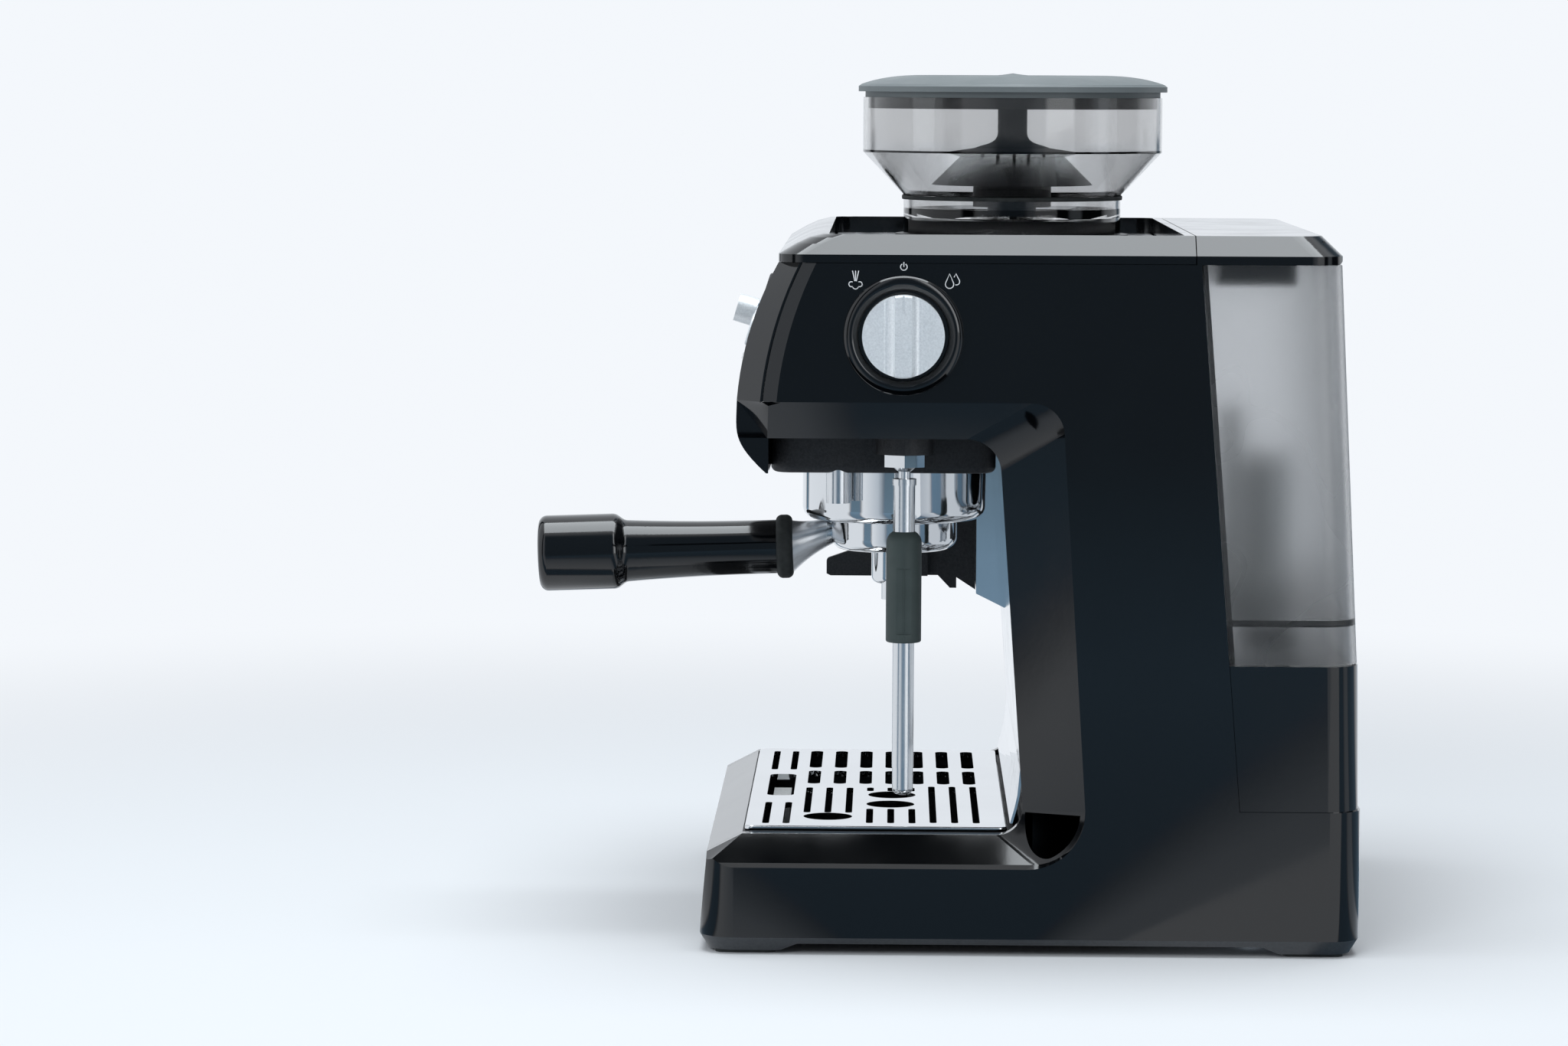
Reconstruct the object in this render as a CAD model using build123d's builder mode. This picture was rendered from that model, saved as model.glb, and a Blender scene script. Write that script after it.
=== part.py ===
from build123d import *
import os
from math import atan2, cos, hypot, pi, sin

os.makedirs("parts", exist_ok=True)

# Whole machine: X to its right side, Y to its rear, Z up from the table.
body_width = 318.0
base_depth = 305.5
handle_overhang = 82.1
handle_tip_lean = 0.5
half_width = body_width / 2
base_front = -(base_depth - handle_overhang) / 2
base_rear = base_front + base_depth
handle_tip_y = base_front - handle_overhang + handle_tip_lean

# Shared clearances, walls and stock
seam_gap = 0.3
turn_gap = 0.3
shaft_gap = 0.05
overrun = 2.0
wall = 2.5
sheet = 1.2
plate = 2.0
tab_half = 20.0
edge_round = 1.0

# The bevel that runs round the opening for the cup
bevel_inset = 14.0
bevel_half = half_width - bevel_inset
centre_half = bevel_half - seam_gap

# Heights of the main seams
frame_top_z = 8.0
base_top_z = 68.0
head_lip_z = 238.3
head_crease_z = 256.0
panel_top_z = 319.5
body_top_z = 332.5
fascia_mid_z = (head_crease_z + panel_top_z) / 2

# Setbacks from the front of the base, and the places they give
fascia_low_setback = 16.4
fascia_mid_setback = 22.3
fascia_top_setback = 35.5
seam_low_setback = 28.7
seam_mid_setback = 34.5
seam_top_setback = 46.6
lip_back_setback = 30.5
column_head_setback = 137.4
column_foot_setback = 149.5
crease_head_setback = 166.0
crease_foot_setback = 178.0
tank_seam_low_setback = 248.9
tank_seam_top_setback = 228.7
cover_rear_setback = 226.0
tank_top_rear_setback = 294.0
fascia_low_y = base_front + fascia_low_setback
fascia_mid_y = base_front + fascia_mid_setback
fascia_top_y = base_front + fascia_top_setback
seam_low_y = base_front + seam_low_setback
seam_mid_y = base_front + seam_mid_setback
seam_top_y = base_front + seam_top_setback
lip_back_y = base_front + lip_back_setback
column_head_y = base_front + column_head_setback
column_foot_y = base_front + column_foot_setback
crease_head_y = base_front + crease_head_setback
crease_foot_y = base_front + crease_foot_setback
tank_seam_low_y = base_front + tank_seam_low_setback
tank_seam_top_y = base_front + tank_seam_top_setback
cover_rear_y = base_front + cover_rear_setback
tank_top_rear_y = base_front + tank_top_rear_setback

# Base housing and the bay for the drip tray
base_front_round = 16.0
base_rear_round = 15.0
base_lean = 3.2
base_floor = 4.0
bay_half = 139.0
bay_depth = 148.0
rim_outer_z = 42.6
rim_inner_z = 54.5
rim_front_z = 46.0
rim_front_setback = 19.6
rim_inner_round = 12.0
rim_outer_round = 24.5
rim_flat = 0.8
rim_edge_width = 1.6
rim_edge_drop = 2.0
seam_facet_width = 6.3
seam_facet_depth = 1.5
lip_round = 16.0
crease_round = 15.0
crease_dip = 0.15
hatch_margin = 24.0
inlet_radius = 5.0
inlet_height = 24.0
inlet_side_share = 0.7
bay_floor_z = frame_top_z + base_floor
bay_rear_y = base_front + bay_depth
rim_front_y = base_front + rim_front_setback
base_hollow_front_y = bay_rear_y + wall
base_hollow_rear_y = base_rear - wall
base_roof_z = base_top_z - wall

# Foot frame, feet and screws
arch_z = 5.0
foot_block_z = 1.5
foot_length = 32.0
foot_width = 46.0
foot_setback = 5.5
foot_ramp = 8.0
foot_inset = 4.0
frame_taper = 32.0
pad_margin = 4.0
screw_head_radius = 4.5
screw_head_height = 2.0
screw_shank_radius = 2.0
screw_seat_z = arch_z + screw_head_height
screw_y_shares = (0.16, 0.5, 0.84)
screw_x_share = 0.82

# Top cover, cup tray and warmer plate
cover_bevel_inset = 9.0
cover_bevel_front = 20.0
cover_band_z = 323.5
cover_bevel_steps = ((0.52, 0.4), (0.83, 0.7))
cover_corner = 12.0
cover_rim = 9.0
cover_rim_front = 3.0
cover_rim_rear = 4.5
cover_floor_z = 323.2
recess_corner = 8.0
recess_half = half_width - cover_rim
recess_front_y = fascia_top_y + cover_bevel_front + cover_rim_front
recess_rear_y = cover_rear_y - cover_rim_rear
cover_bottom_z = panel_top_z + seam_gap
plate_slot_x = 70.0
plate_slot_length = 110.0
plate_slot_width = 2.6
plate_slot_pitch = 12.0
plate_slot_count = 10

# Lower fascia, the curved chin below the front fascia
chin_top_z = head_crease_z - seam_gap
chin_nose_setback = 16.2
chin_bend_setback = 17.0
chin_cheek_setback = 24.0
chin_foot_setback = 30.0
chin_nose_z = 249.6
chin_bend_z = 238.9
chin_cheek_z = 227.9
chin_foot_z = 222.0

# Head underplate, the matt block that the group hangs from
under_left_x = -100.0
under_right_x = 97.0
under_front_setback = 31.0
under_rear_setback = 137.0
under_bottom_z = 218.5
under_corner = 10.0
under_edge = 3.0
flange_top_z = 241.0
flange_margin = 1.0
under_front_y = base_front + under_front_setback
under_rear_y = base_front + under_rear_setback

# Chassis inside the head and the column
deck_thickness = 2.0
deck_margin = 5.0
deck_top_z = flange_top_z + deck_thickness
deck_rear_setback = 222.0
deck_rear_y = base_front + deck_rear_setback

# Group head, collar and what seals the portafilter
group_x = 44.0
group_setback = 89.2
group_y = base_front + group_setback
collar_radius = 44.0
collar_bottom_z = 193.0
collar_edge = 6.0
collar_lip = 4.5
rim_radius = 33.0
rim_clearance = 0.4
ear_reach = 5.0
ear_width = 24.0
ear_slot_extra = 3.0
ear_height = 4.0
unlock_angle = 45.0
gasket_bottom_z = 204.0
gasket_height = 8.0
gasket_inner_radius = 27.0
screen_radius = 26.0
screen_drop = 1.5
screen_hole_radius = 1.0
screen_hole_share = 0.66
screen_hole_count = 24
head_radius = 33.0
group_face_z = gasket_bottom_z + gasket_height
head_height = 50.0
head_flange_radius = 41.0
head_flange_height = 4.0

# Portafilter: bowl, basket, spout, neck, ring and handle
bowl_radius = 30.4
bowl_wall = 2.2
bowl_bottom_z = 178.2
bowl_floor = 3.0
bowl_edge = 6.0
bowl_rim_height = 5.5
bowl_top_z = 202.6
bowl_outlet_radius = 4.0
basket_wall = 0.8
basket_gap = 0.5
basket_flange = 1.0
basket_depth = 20.0
basket_hole_radius = 0.6
basket_ring_shares = (0.3, 0.5, 0.7, 0.88)
spout_bottom_z = 154.8
spout_body_radius = 10.8
spout_body_height = 16.2
spout_body_round = 3.6
spout_nozzle_radius = 5.9
spout_bore = 3.2
spout_spread = 10.0
neck_radius = 12.4
neck_root_radius = 6.5
neck_waist_radius = 8.0
neck_end_setback = 40.7
neck_end_z = 179.0
neck_root_z = 187.0
neck_waist_z = 183.5
neck_waist_share = 0.45
handle_tip_z = 174.7
ring_length = 8.0
ring_radius = 15.3
ring_edge = 3.0
handle_root_radius = 13.0
handle_waist_radius = 14.8
handle_hollow = 0.6
handle_end_radius = 18.2
handle_end_length = 35.5
handle_step = 8.0
handle_edge = 4.0
stud_radius = 4.0
stud_length = 32.0
neck_end_y = base_front + neck_end_setback

# Hot water spout
water_x = 90.0
water_setback = 62.8
water_radius = 5.9
water_bore = 4.0
water_bottom_z = 204.0
water_notch_radius = 6.6
water_notch_x = 90.0
water_notch_top_z = 231.0
water_y = base_front + water_setback

# Steam boss, swivel nut, wand, grip and tip
wand_x = 115.0
wand_setback = 93.9
wand_y = base_front + wand_setback
boss_radius = 13.5
boss_bottom_z = 229.3
boss_bore = 7.2
nut_across_flats = 18.6
nut_bottom_z = 223.3
ball_radius = 6.2
ball_z = 226.5
stub_radius = 2.9
wand_collar_z = 217.6
wand_collar_radius = 5.6
wand_collar_height = 3.0
tube_radius = 5.1
tube_bore = 3.4
tip_top_z = 82.0
tip_bottom_z = 69.0
tip_radius = 4.9
tip_round = 3.0
tip_hole_radius = 0.5
tip_hole_count = 4
grip_top_z = 193.6
grip_bottom_z = 141.0
grip_radius = 8.3
grip_dome = 6.0
grip_panel_depth = 0.8
grip_panel_width = 9.4
grip_panel_height = 31.0
grip_panel_lift = 4.1

# Backsplash and the steel shroud behind the grinding chute
shroud_front_setback = 130.0
shroud_low_z = 150.0
shroud_tip_z = 143.0
shroud_half = 36.0
skirt_top_z = 84.0
skirt_bend_z = 72.0
skirt_knee_z = 66.0
skirt_foot_z = 59.0
skirt_bend_setback = 147.2
skirt_knee_setback = 145.9
skirt_foot_setback = 143.9
shroud_front_y = base_front + shroud_front_setback

# Grinder, hopper axis and chute
grinder_x = -55.0
grinder_setback = 147.0
grinder_radius = 51.0
neck_skirt_radius = 54.0
grinder_wall = 5.0
burr_floor_z = 292.0
hopper_seat_z = 321.7
collar_ring_wall = 3.6
collar_ring_top_z = 327.0
upper_burr_radius = 40.0
upper_burr_bore = 24.0
upper_burr_low_z = 301.0
upper_burr_top_z = 315.0
lower_burr_radius = 18.0
lower_burr_tip_radius = 9.0
burr_shaft_radius = 5.0
burr_rib = 1.2
burr_rib_count = 12
motor_radius = 32.0
motor_setback = 186.5
motor_cap = 6.0
motor_bottom_z = 96.0
motor_top_z = 214.0
gearbox_half = 21.0
gearbox_nose = 6.5
gearbox_corner = 6.0
shaft_dip = 10.0
chute_setback = 117.0
grinder_y = base_front + grinder_setback
motor_y = base_front + motor_setback
chute_y = base_front + chute_setback
skirt_clear_radius = neck_skirt_radius + turn_gap
burr_foot_z = burr_floor_z + turn_gap

# Grinding cradle: chute and fork
cradle_half = 35.0
cradle_gap_half = 31.5
cradle_front_setback = 56.0
cradle_top_z = 171.6
cradle_bottom_z = 158.5
cradle_lip_z = 162.0
cradle_tip_z = 167.0
cradle_tip_length = 13.0
cradle_tip_round = 2.0
chute_front_setback = 104.0
chute_rear_setback = 129.7
chute_half = 30.0
chute_low_rear_z = 151.4
chute_bore = 9.0
hook_setback = 111.1
hook_slope = 6.0
hook_width = 3.2
hook_bottom_z = 152.2
hook_top_z = 157.5
switch_radius = 3.0
switch_length = 9.0
switch_travel = 3.0
switch_z = 176.0
switch_pocket = 7.0
nose_half = 14.0
nose_front_setback = 76.0
nose_bottom_z = 186.0
duct_radius = 8.0
outlet_setback = 88.0
cradle_front_y = base_front + cradle_front_setback
chute_front_y = base_front + chute_front_setback
chute_rear_y = base_front + chute_rear_setback
nose_front_y = base_front + nose_front_setback
outlet_y = base_front + outlet_setback
hook_front_y = base_front + hook_setback

# Hopper bowl, lid and stem
hopper_radius = 74.3
hopper_wall = 2.2
neck_height = 24.3
cone_height = 21.5
bowl_height = 27.0
funnel_height = 9.3
funnel_throat_radius = 21.0
funnel_fall = 6.5
funnel_step = 8.0
hub_radius = 12.0
hub_lift = 4.3
hub_height = 8.0
pivot_radius = 4.0
spoke_width = 3.0
spoke_count = 3
lid_radius = 76.7
lid_height = 12.0
lid_shoulder_height = 6.9
lid_step_height = 2.8
lid_crown_share = 0.55
lid_crown_drop = 1.0
lid_brow_share = 0.86
lid_brow_drop = 2.9
lid_round = 1.5
lid_skirt_length = 5.5
lid_skirt_wall = 2.2
lid_step_radius = 73.3
lid_wall = 2.4
stem_radius = 7.3
stem_drop = 3.5
stem_flare_radius = 18.5
stem_flare_height = 8.0
stem_flare_lean = 0.5
guard_lift = 2.0
guard_disc_radius = 31.0
guard_disc_slope = 1.9
guard_disc_edge = 0.5
guard_disc_height = 3.7
guard_top_radius = 26.0
guard_foot_radius = 40.0
guard_height = 17.7
guard_wall = 2.5
post_radius = 19.4
post_length = 11.5
cone_low_z = hopper_seat_z + neck_height
cone_high_z = cone_low_z + cone_height
hopper_rim_z = cone_high_z + bowl_height
funnel_low_z = hopper_seat_z + funnel_height
hub_bottom_z = hopper_seat_z + hub_lift
hub_top_z = hub_bottom_z + hub_height
lid_edge_z = hopper_rim_z + lid_step_height
lid_shoulder_z = hopper_rim_z + lid_shoulder_height
lid_top_z = hopper_rim_z + lid_height
stem_top_z = hopper_rim_z - stem_drop
guard_disc_z = cone_high_z + guard_lift
guard_foot_z = guard_disc_z - guard_height
post_bottom_z = guard_foot_z - post_length

# Water tank, its valve and filter, and the lid
tank_half = 157.0
tank_bottom_z = 136.0
tank_top_z = 319.2
tank_floor_z = 153.5
tank_floor = 3.0
tank_wall = 2.2
tank_rear_low_setback = 303.2
tank_rear_low_y = base_front + tank_rear_low_setback
tank_valve_radius = 12.0
filter_radius = 10.5
filter_top_z = 222.0
valve_setback = 272.0
valve_y = base_front + valve_setback
filter_stalk_radius = 6.0
filter_stalk_top_z = 245.0
stalk_setback = 254.0
stalk_y = base_front + stalk_setback
filter_base_height = 6.0
lid_tank_margin = 0.5
lid_plug_drop = 11.0
lid_plug_front_setback = 238.0
lid_plug_rear_setback = 275.0
lid_plug_half = 118.0
plug_front_y = base_front + lid_plug_front_setback
plug_rear_y = base_front + lid_plug_rear_setback
lid_hollow_inset = 12.0
tank_hinge_round = 3.0
hinge_y = tank_top_rear_y - tank_hinge_round
hinge_z = panel_top_z + tank_hinge_round
hinge_slot = 5.0
ear_root = 4.0
hinge_ear_x = 60.0
hinge_ear_width = 4.0
hinge_pin_radius = 1.5

# Rear housing below the tank
rear_top_z = 135.4
seat_height = 6.0
rear_half = 158.0
rear_setback_low = 304.6
rear_setback_top = 303.4

# Drip tray, its glossy front, grate and float
tray_gap = 0.5
tray_wall = 2.2
tray_floor_gap = 0.3
tray_height = 41.4
tray_ledge = 6.5
tray_ledge_height = 5.0
tray_rear_setback = 146.0
tray_front_wall = 3.0
tray_corner = 5.0
grate_half = 134.0
grate_front_setback = 20.4
grate_rear_setback = 142.8
grate_top_z = 56.5
grate_corner = 4.0

# Slots in the grate: from x, to x, first setback, count, pitch and width
grate_slots = (
    (-125.0, -63.0, 50.4, 7, 12.8, 6.2),
    (-52.0, -6.0, 50.4, 7, 12.8, 6.2),
    (-123.5, -55.5, 29.9, 2, 9.6, 3.3),
    (58.0, 126.0, 29.9, 2, 9.6, 3.3),
    (7.5, 91.0, 48.7, 3, 9.9, 3.3),
    (6.6, 19.0, 78.5, 3, 10.0, 3.3),
    (77.6, 123.5, 78.5, 3, 10.0, 3.3),
    (2.0, 122.0, 108.4, 3, 10.1, 3.3),
)

# Round holes in the grate: x and setback
grate_holes = ((103.0, 58.8), (31.0, 89.0), (62.0, 88.3))
float_x = -2.0
float_setback = 34.8
float_hole_length = 74.0
float_hole_width = 13.0
finger_hole_radius = 11.5
float_length = 62.0
float_width = 8.6
float_height = 36.0
float_wall = 1.6
guide_wall = 1.6
guide_gap = 0.5
guide_height = 20.0

# Dials on both sides
dial_setback = 92.9
dial_z = 286.8
dial_y = base_front + dial_setback
knob_radius = 18.8
knob_depth = 11.0
knob_rib_width = 7.7
knob_rib_height = 6.0
mark_depth = 0.5
mark_length = 7.0
knob_groove_radius = 5.0
knob_gap = 1.2
bezel_radius = 27.5
bezel_bore = 20.6
bezel_height = 6.0
bezel_round = 2.4
dial_shaft_radius = 3.0
dial_shaft_length = 16.0

# Front controls on the leaning fascia
button_radius = 7.6
button_proud = 0.9
button_depth = 12.6
button_round = 0.8
board_depth = 14.0
board_thickness = 1.6
board_half = 140.0
board_height = 34.0
post_size = 3.0
button_x_shares = (-0.82, -0.62, 0.4, 0.61, 0.82)
button_names = ("power_button", "filter_button", "program_button", "one_cup_button", "two_cup_button")
amount_x_share = -0.39
amount_drop = 2.0
amount_radius = 7.1
amount_length = 12.0
amount_shaft_radius = 2.5
gauge_radius = 22.0
gauge_proud = 0.4
gauge_lip = 2.6
gauge_recess = 7.0
needle_length = 13.0
needle_tail = 5.0
needle_width = 1.6
needle_thickness = 0.8
needle_hub_radius = 2.6
needle_axle_radius = 0.8
needle_axle_length = 3.0
needle_rest_angle = 195.0
glass_thickness = 1.2
glass_sink = 0.6

# Pump, heater and hoses
pump_radius = 22.0
pump_length = 74.0
pump_x = 80.0
pump_setback = 196.0
pump_z = 108.0
pump_y = base_front + pump_setback
pump_bracket = 6.0
hose_shift = 9.0
heater_x = 98.0
heater_setback = 181.0
heater_radius = 34.0
heater_bore = 12.0
heater_height = 42.0
heater_bottom_z = 180.0
heater_y = base_front + heater_setback
heater_front_y = heater_y - heater_bore - hose_shift
hose_radius = 3.0
hose_bore = 1.6
hose_hole = hose_radius + seam_gap
hose_bend = 7.0
hose_riser_x = 125.0
hose_deck_x = 98.0
hose_top_z = 276.0


def tank_seam_y(z):
    """The seam between the side panels and the tank leans forward as it rises."""
    share = (z - base_top_z) / (panel_top_z - base_top_z)
    return tank_seam_low_y + share * (tank_seam_top_y - tank_seam_low_y)


def column_y(z):
    """The front of the column leans forward as it rises."""
    share = (z - base_top_z) / (head_lip_z - base_top_z)
    return column_foot_y + share * (column_head_y - column_foot_y)


def disc(x, y, low, high, radius, mode=Mode.ADD):
    """A vertical cylinder between two heights."""
    with BuildSketch(Plane.XY.offset(low)) as outline:
        with Locations((x, y)):
            Circle(radius)
    extrude(outline.sketch, amount=high - low, mode=mode)


def block(x_low, x_high, y_low, y_high, z_low, z_high, corner=0, mode=Mode.ADD):
    """A box between two corners, with its upright edges rounded where a corner radius is given."""
    with BuildSketch(Plane.XY.offset(z_low)) as outline:
        with Locations(((x_low + x_high) / 2, (y_low + y_high) / 2)):
            if corner:
                RectangleRounded(x_high - x_low, y_high - y_low, corner)
            else:
                Rectangle(x_high - x_low, y_high - y_low)
    extrude(outline.sketch, amount=z_high - z_low, mode=mode)


def prism(points, x_low, x_high, mode=Mode.ADD):
    """A side outline of (y, z) corners, carried across from one x to another."""
    with BuildSketch(Plane.YZ.offset(x_low)) as outline:
        with BuildLine():
            Polyline(*points, close=True)
        make_face()
    extrude(outline.sketch, amount=x_high - x_low, mode=mode)


def turned(points, plane, axis, mode=Mode.ADD):
    """A section of (radius, height) corners, turned about an axis."""
    with BuildSketch(plane) as outline:
        with BuildLine():
            Polyline(*points, close=True)
        make_face()
    revolve(outline.sketch, axis=axis, mode=mode)


def upright(x, y):
    """The section plane of a part turned about a vertical axis."""
    return Plane(origin=(x, y, 0), x_dir=(1, 0, 0), z_dir=(0, -1, 0))


def spindle(x, y):
    """The vertical axis through a point."""
    return Axis((x, y, 0), (0, 0, 1))


# The rounded plan that the base and its foot frame share.
with BuildSketch(Plane.XY.offset(frame_top_z)) as base_plan:
    with Locations((0, (base_front + base_rear) / 2)):
        Rectangle(body_width, base_depth)
    fillet(vertices().group_by(Axis.Y)[0], radius=base_front_round)
    fillet(vertices().group_by(Axis.Y)[-1], radius=base_rear_round)

# The form of the base: that plan under the swept bevel that rises into the column.
with BuildPart() as base_form:
    extrude(base_plan.sketch, amount=base_top_z - frame_top_z)

rim_inside = [
    (base_front, frame_top_z),
    (base_front + base_lean, rim_front_z),
    (rim_front_y, rim_inner_z),
    (column_foot_y, rim_inner_z),
    (column_foot_y, base_top_z),
    (base_rear, base_top_z),
    (base_rear, frame_top_z),
]
rim_outside = [
    (base_front, frame_top_z),
    (base_front + base_lean, rim_outer_z - rim_flat),
    (base_front + base_lean + rim_flat, rim_outer_z),
    (crease_foot_y, rim_outer_z),
    (crease_foot_y, base_top_z),
    (base_rear, base_top_z),
    (base_rear, frame_top_z),
]
rim_edge = [
    (base_front, frame_top_z),
    (base_front + base_lean, rim_outer_z - rim_flat - rim_edge_drop),
    (base_front + base_lean + rim_flat, rim_outer_z - rim_edge_drop),
    (crease_foot_y, rim_outer_z - rim_edge_drop),
    (crease_foot_y, base_top_z),
    (base_rear, base_top_z),
    (base_rear, frame_top_z),
]
rim_sections = (
    (bevel_half, rim_inside, rim_inner_round),
    (half_width - rim_edge_width, rim_outside, rim_outer_round),
    (half_width, rim_edge, rim_outer_round + rim_edge_drop),
)
with BuildPart() as rim_form:
    for section_x, corners, sweep_round in rim_sections:
        with BuildSketch(Plane.YZ.offset(section_x)):
            with BuildLine():
                Polyline(*corners, close=True)
            make_face()
            fillet(vertices().sort_by_distance(corners[3])[0], radius=sweep_round)
    loft(ruled=True)
    with BuildSketch(Plane.YZ):
        with BuildLine():
            Polyline(*rim_inside, close=True)
        make_face()
        fillet(vertices().sort_by_distance((column_foot_y, rim_inner_z))[0], radius=rim_inner_round)
    extrude(amount=bevel_half)
    mirror(about=Plane.YZ)

# Base housing: the bay for the drip tray in front, and a hollow under the column.
with BuildPart() as base_housing:
    add(base_form.part)
    add(rim_form.part, mode=Mode.INTERSECT)
    block(
        -bay_half,
        bay_half,
        base_front - overrun,
        bay_rear_y,
        bay_floor_z,
        base_top_z + overrun,
        mode=Mode.SUBTRACT,
    )
    block(
        wall - half_width,
        half_width - wall,
        base_hollow_front_y,
        base_hollow_rear_y,
        frame_top_z + wall,
        base_roof_z,
        corner=base_rear_round - wall,
        mode=Mode.SUBTRACT,
    )
    block(
        hatch_margin - half_width,
        half_width - hatch_margin,
        base_hollow_front_y + wall,
        tank_seam_low_y - hatch_margin,
        base_roof_z - overrun,
        base_top_z + overrun,
        mode=Mode.SUBTRACT,
    )
    with BuildSketch(Plane.XZ.offset(-base_rear)):
        with Locations((-inlet_side_share * half_width, frame_top_z + inlet_height)):
            Circle(inlet_radius)
    extrude(amount=wall + overrun, both=True, mode=Mode.SUBTRACT)
base_housing.part.label = "base_housing"
export_step(base_housing.part, "parts/base_housing.step")

# Foot frame: a tapered plate, arched between four corners that stand on rubber pads.
screw_places = [
    (side * screw_x_share * half_width, base_front + share * base_depth)
    for side in (-1, 1)
    for share in screw_y_shares
]
foot_centre_x = half_width - foot_inset - foot_width / 2
foot_front_y = base_front + foot_setback + foot_length / 2
foot_rear_y = base_rear - foot_setback - foot_length / 2
foot_places = [(side * foot_centre_x, y) for side in (-1, 1) for y in (foot_front_y, foot_rear_y)]
foot_inner_x = foot_centre_x - foot_width / 2
arch_front_y = foot_front_y + foot_length / 2
arch_rear_y = foot_rear_y - foot_length / 2
side_arch = [
    (arch_front_y, foot_block_z - overrun),
    (arch_front_y, foot_block_z),
    (arch_front_y + foot_ramp, arch_z),
    (arch_rear_y - foot_ramp, arch_z),
    (arch_rear_y, foot_block_z),
    (arch_rear_y, foot_block_z - overrun),
]
front_arch = [
    (-foot_inner_x, foot_block_z - overrun),
    (-foot_inner_x, foot_block_z),
    (foot_ramp - foot_inner_x, arch_z),
    (foot_inner_x - foot_ramp, arch_z),
    (foot_inner_x, foot_block_z),
    (foot_inner_x, foot_block_z - overrun),
]
with BuildPart() as foot_frame:
    extrude(base_plan.sketch, amount=foot_block_z - frame_top_z, taper=frame_taper)
    prism(side_arch, -half_width, half_width, mode=Mode.SUBTRACT)
    with BuildSketch(Plane.XZ.offset(-base_rear)) as arch_outline:
        with BuildLine():
            Polyline(*front_arch, close=True)
        make_face()
    extrude(arch_outline.sketch, amount=base_depth, mode=Mode.SUBTRACT)
    for x, y in screw_places:
        disc(x, y, arch_z - overrun, screw_seat_z, screw_head_radius + shaft_gap, mode=Mode.SUBTRACT)
        disc(x, y, screw_seat_z, frame_top_z + overrun, screw_shank_radius + shaft_gap, mode=Mode.SUBTRACT)
foot_frame.part.label = "foot_frame"
export_step(foot_frame.part, "parts/foot_frame.step")

# Rubber feet: four pads under the blocks.
with BuildPart() as rubber_feet:
    with BuildSketch():
        with Locations(*foot_places):
            RectangleRounded(foot_width - pad_margin, foot_length - pad_margin, pad_margin)
    extrude(amount=foot_block_z)
rubber_feet.part.label = "rubber_feet"
export_step(rubber_feet.part, "parts/rubber_feet.step")

# Screws that hold the foot frame to the base.
with BuildPart() as screws:
    for x, y in screw_places:
        disc(x, y, arch_z, screw_seat_z, screw_head_radius)
        disc(x, y, screw_seat_z, frame_top_z, screw_shank_radius)
screws.part.label = "screws"
export_step(screws.part, "parts/screws.step")

def panel_face(corners, front):
    """A side outline: the curved seam with the fascia, then straight runs round the other sides."""
    with BuildSketch() as outline:
        with BuildLine():
            ThreePointArc(corners[-1], (seam_mid_y + front, fascia_mid_z), corners[0])
            Polyline(*corners)
        make_face()
    return outline.sketch


# Side panels: shells whose lower front edges roll in to the underside and the column.
lip_tip_y = base_front + fascia_low_setback
panel_inside = [
    (seam_low_y, head_crease_z),
    (lip_tip_y, head_crease_z),
    (lip_back_y, head_lip_z),
    (column_head_y, head_lip_z),
    (column_foot_y, base_top_z),
    (tank_seam_low_y, base_top_z),
    (tank_seam_top_y, panel_top_z),
    (seam_top_y, panel_top_z),
]
panel_outside = [
    (seam_low_y, head_crease_z),
    (seam_low_y + rim_flat, head_crease_z - crease_dip),
    (lip_back_y + rim_flat, head_crease_z - crease_dip),
    (crease_head_y, head_crease_z),
    (crease_foot_y, base_top_z),
    (tank_seam_low_y, base_top_z),
    (tank_seam_top_y, panel_top_z),
    (seam_top_y, panel_top_z),
]
hollow_inside = [
    (seam_low_y + wall, head_crease_z + wall),
    (lip_back_y + wall, head_lip_z + wall),
    (column_head_y + wall, head_lip_z + wall),
    (column_foot_y + wall, base_top_z - overrun),
    (tank_seam_low_y - wall, base_top_z - overrun),
    (tank_seam_top_y - wall, panel_top_z + overrun),
    (seam_top_y + wall, panel_top_z + overrun),
]
hollow_outside = [
    (seam_low_y + wall, head_crease_z + wall + rim_flat),
    (lip_back_y + wall, head_crease_z + wall),
    (crease_head_y + wall, head_crease_z + wall),
    (crease_foot_y + wall, base_top_z - overrun),
    (tank_seam_low_y - wall, base_top_z - overrun),
    (tank_seam_top_y - wall, panel_top_z + overrun),
    (seam_top_y + wall, panel_top_z + overrun),
]
facet_share = 1 - seam_facet_depth / bevel_inset
panel_shoulder = [
    (low[0] + facet_share * (high[0] - low[0]), low[1] + facet_share * (high[1] - low[1]))
    for low, high in zip(panel_inside, panel_outside)
]
panel_skin = [
    (y + seam_facet_width if corner in (0, 1, 2, len(panel_outside) - 1) else y, z)
    for corner, (y, z) in enumerate(panel_outside)
]
panel_sections = (
    (bevel_half, panel_inside, 0, lip_round),
    (half_width - seam_facet_depth, panel_shoulder, 0, crease_round),
    (half_width, panel_skin, seam_facet_width, crease_round),
)
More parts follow.
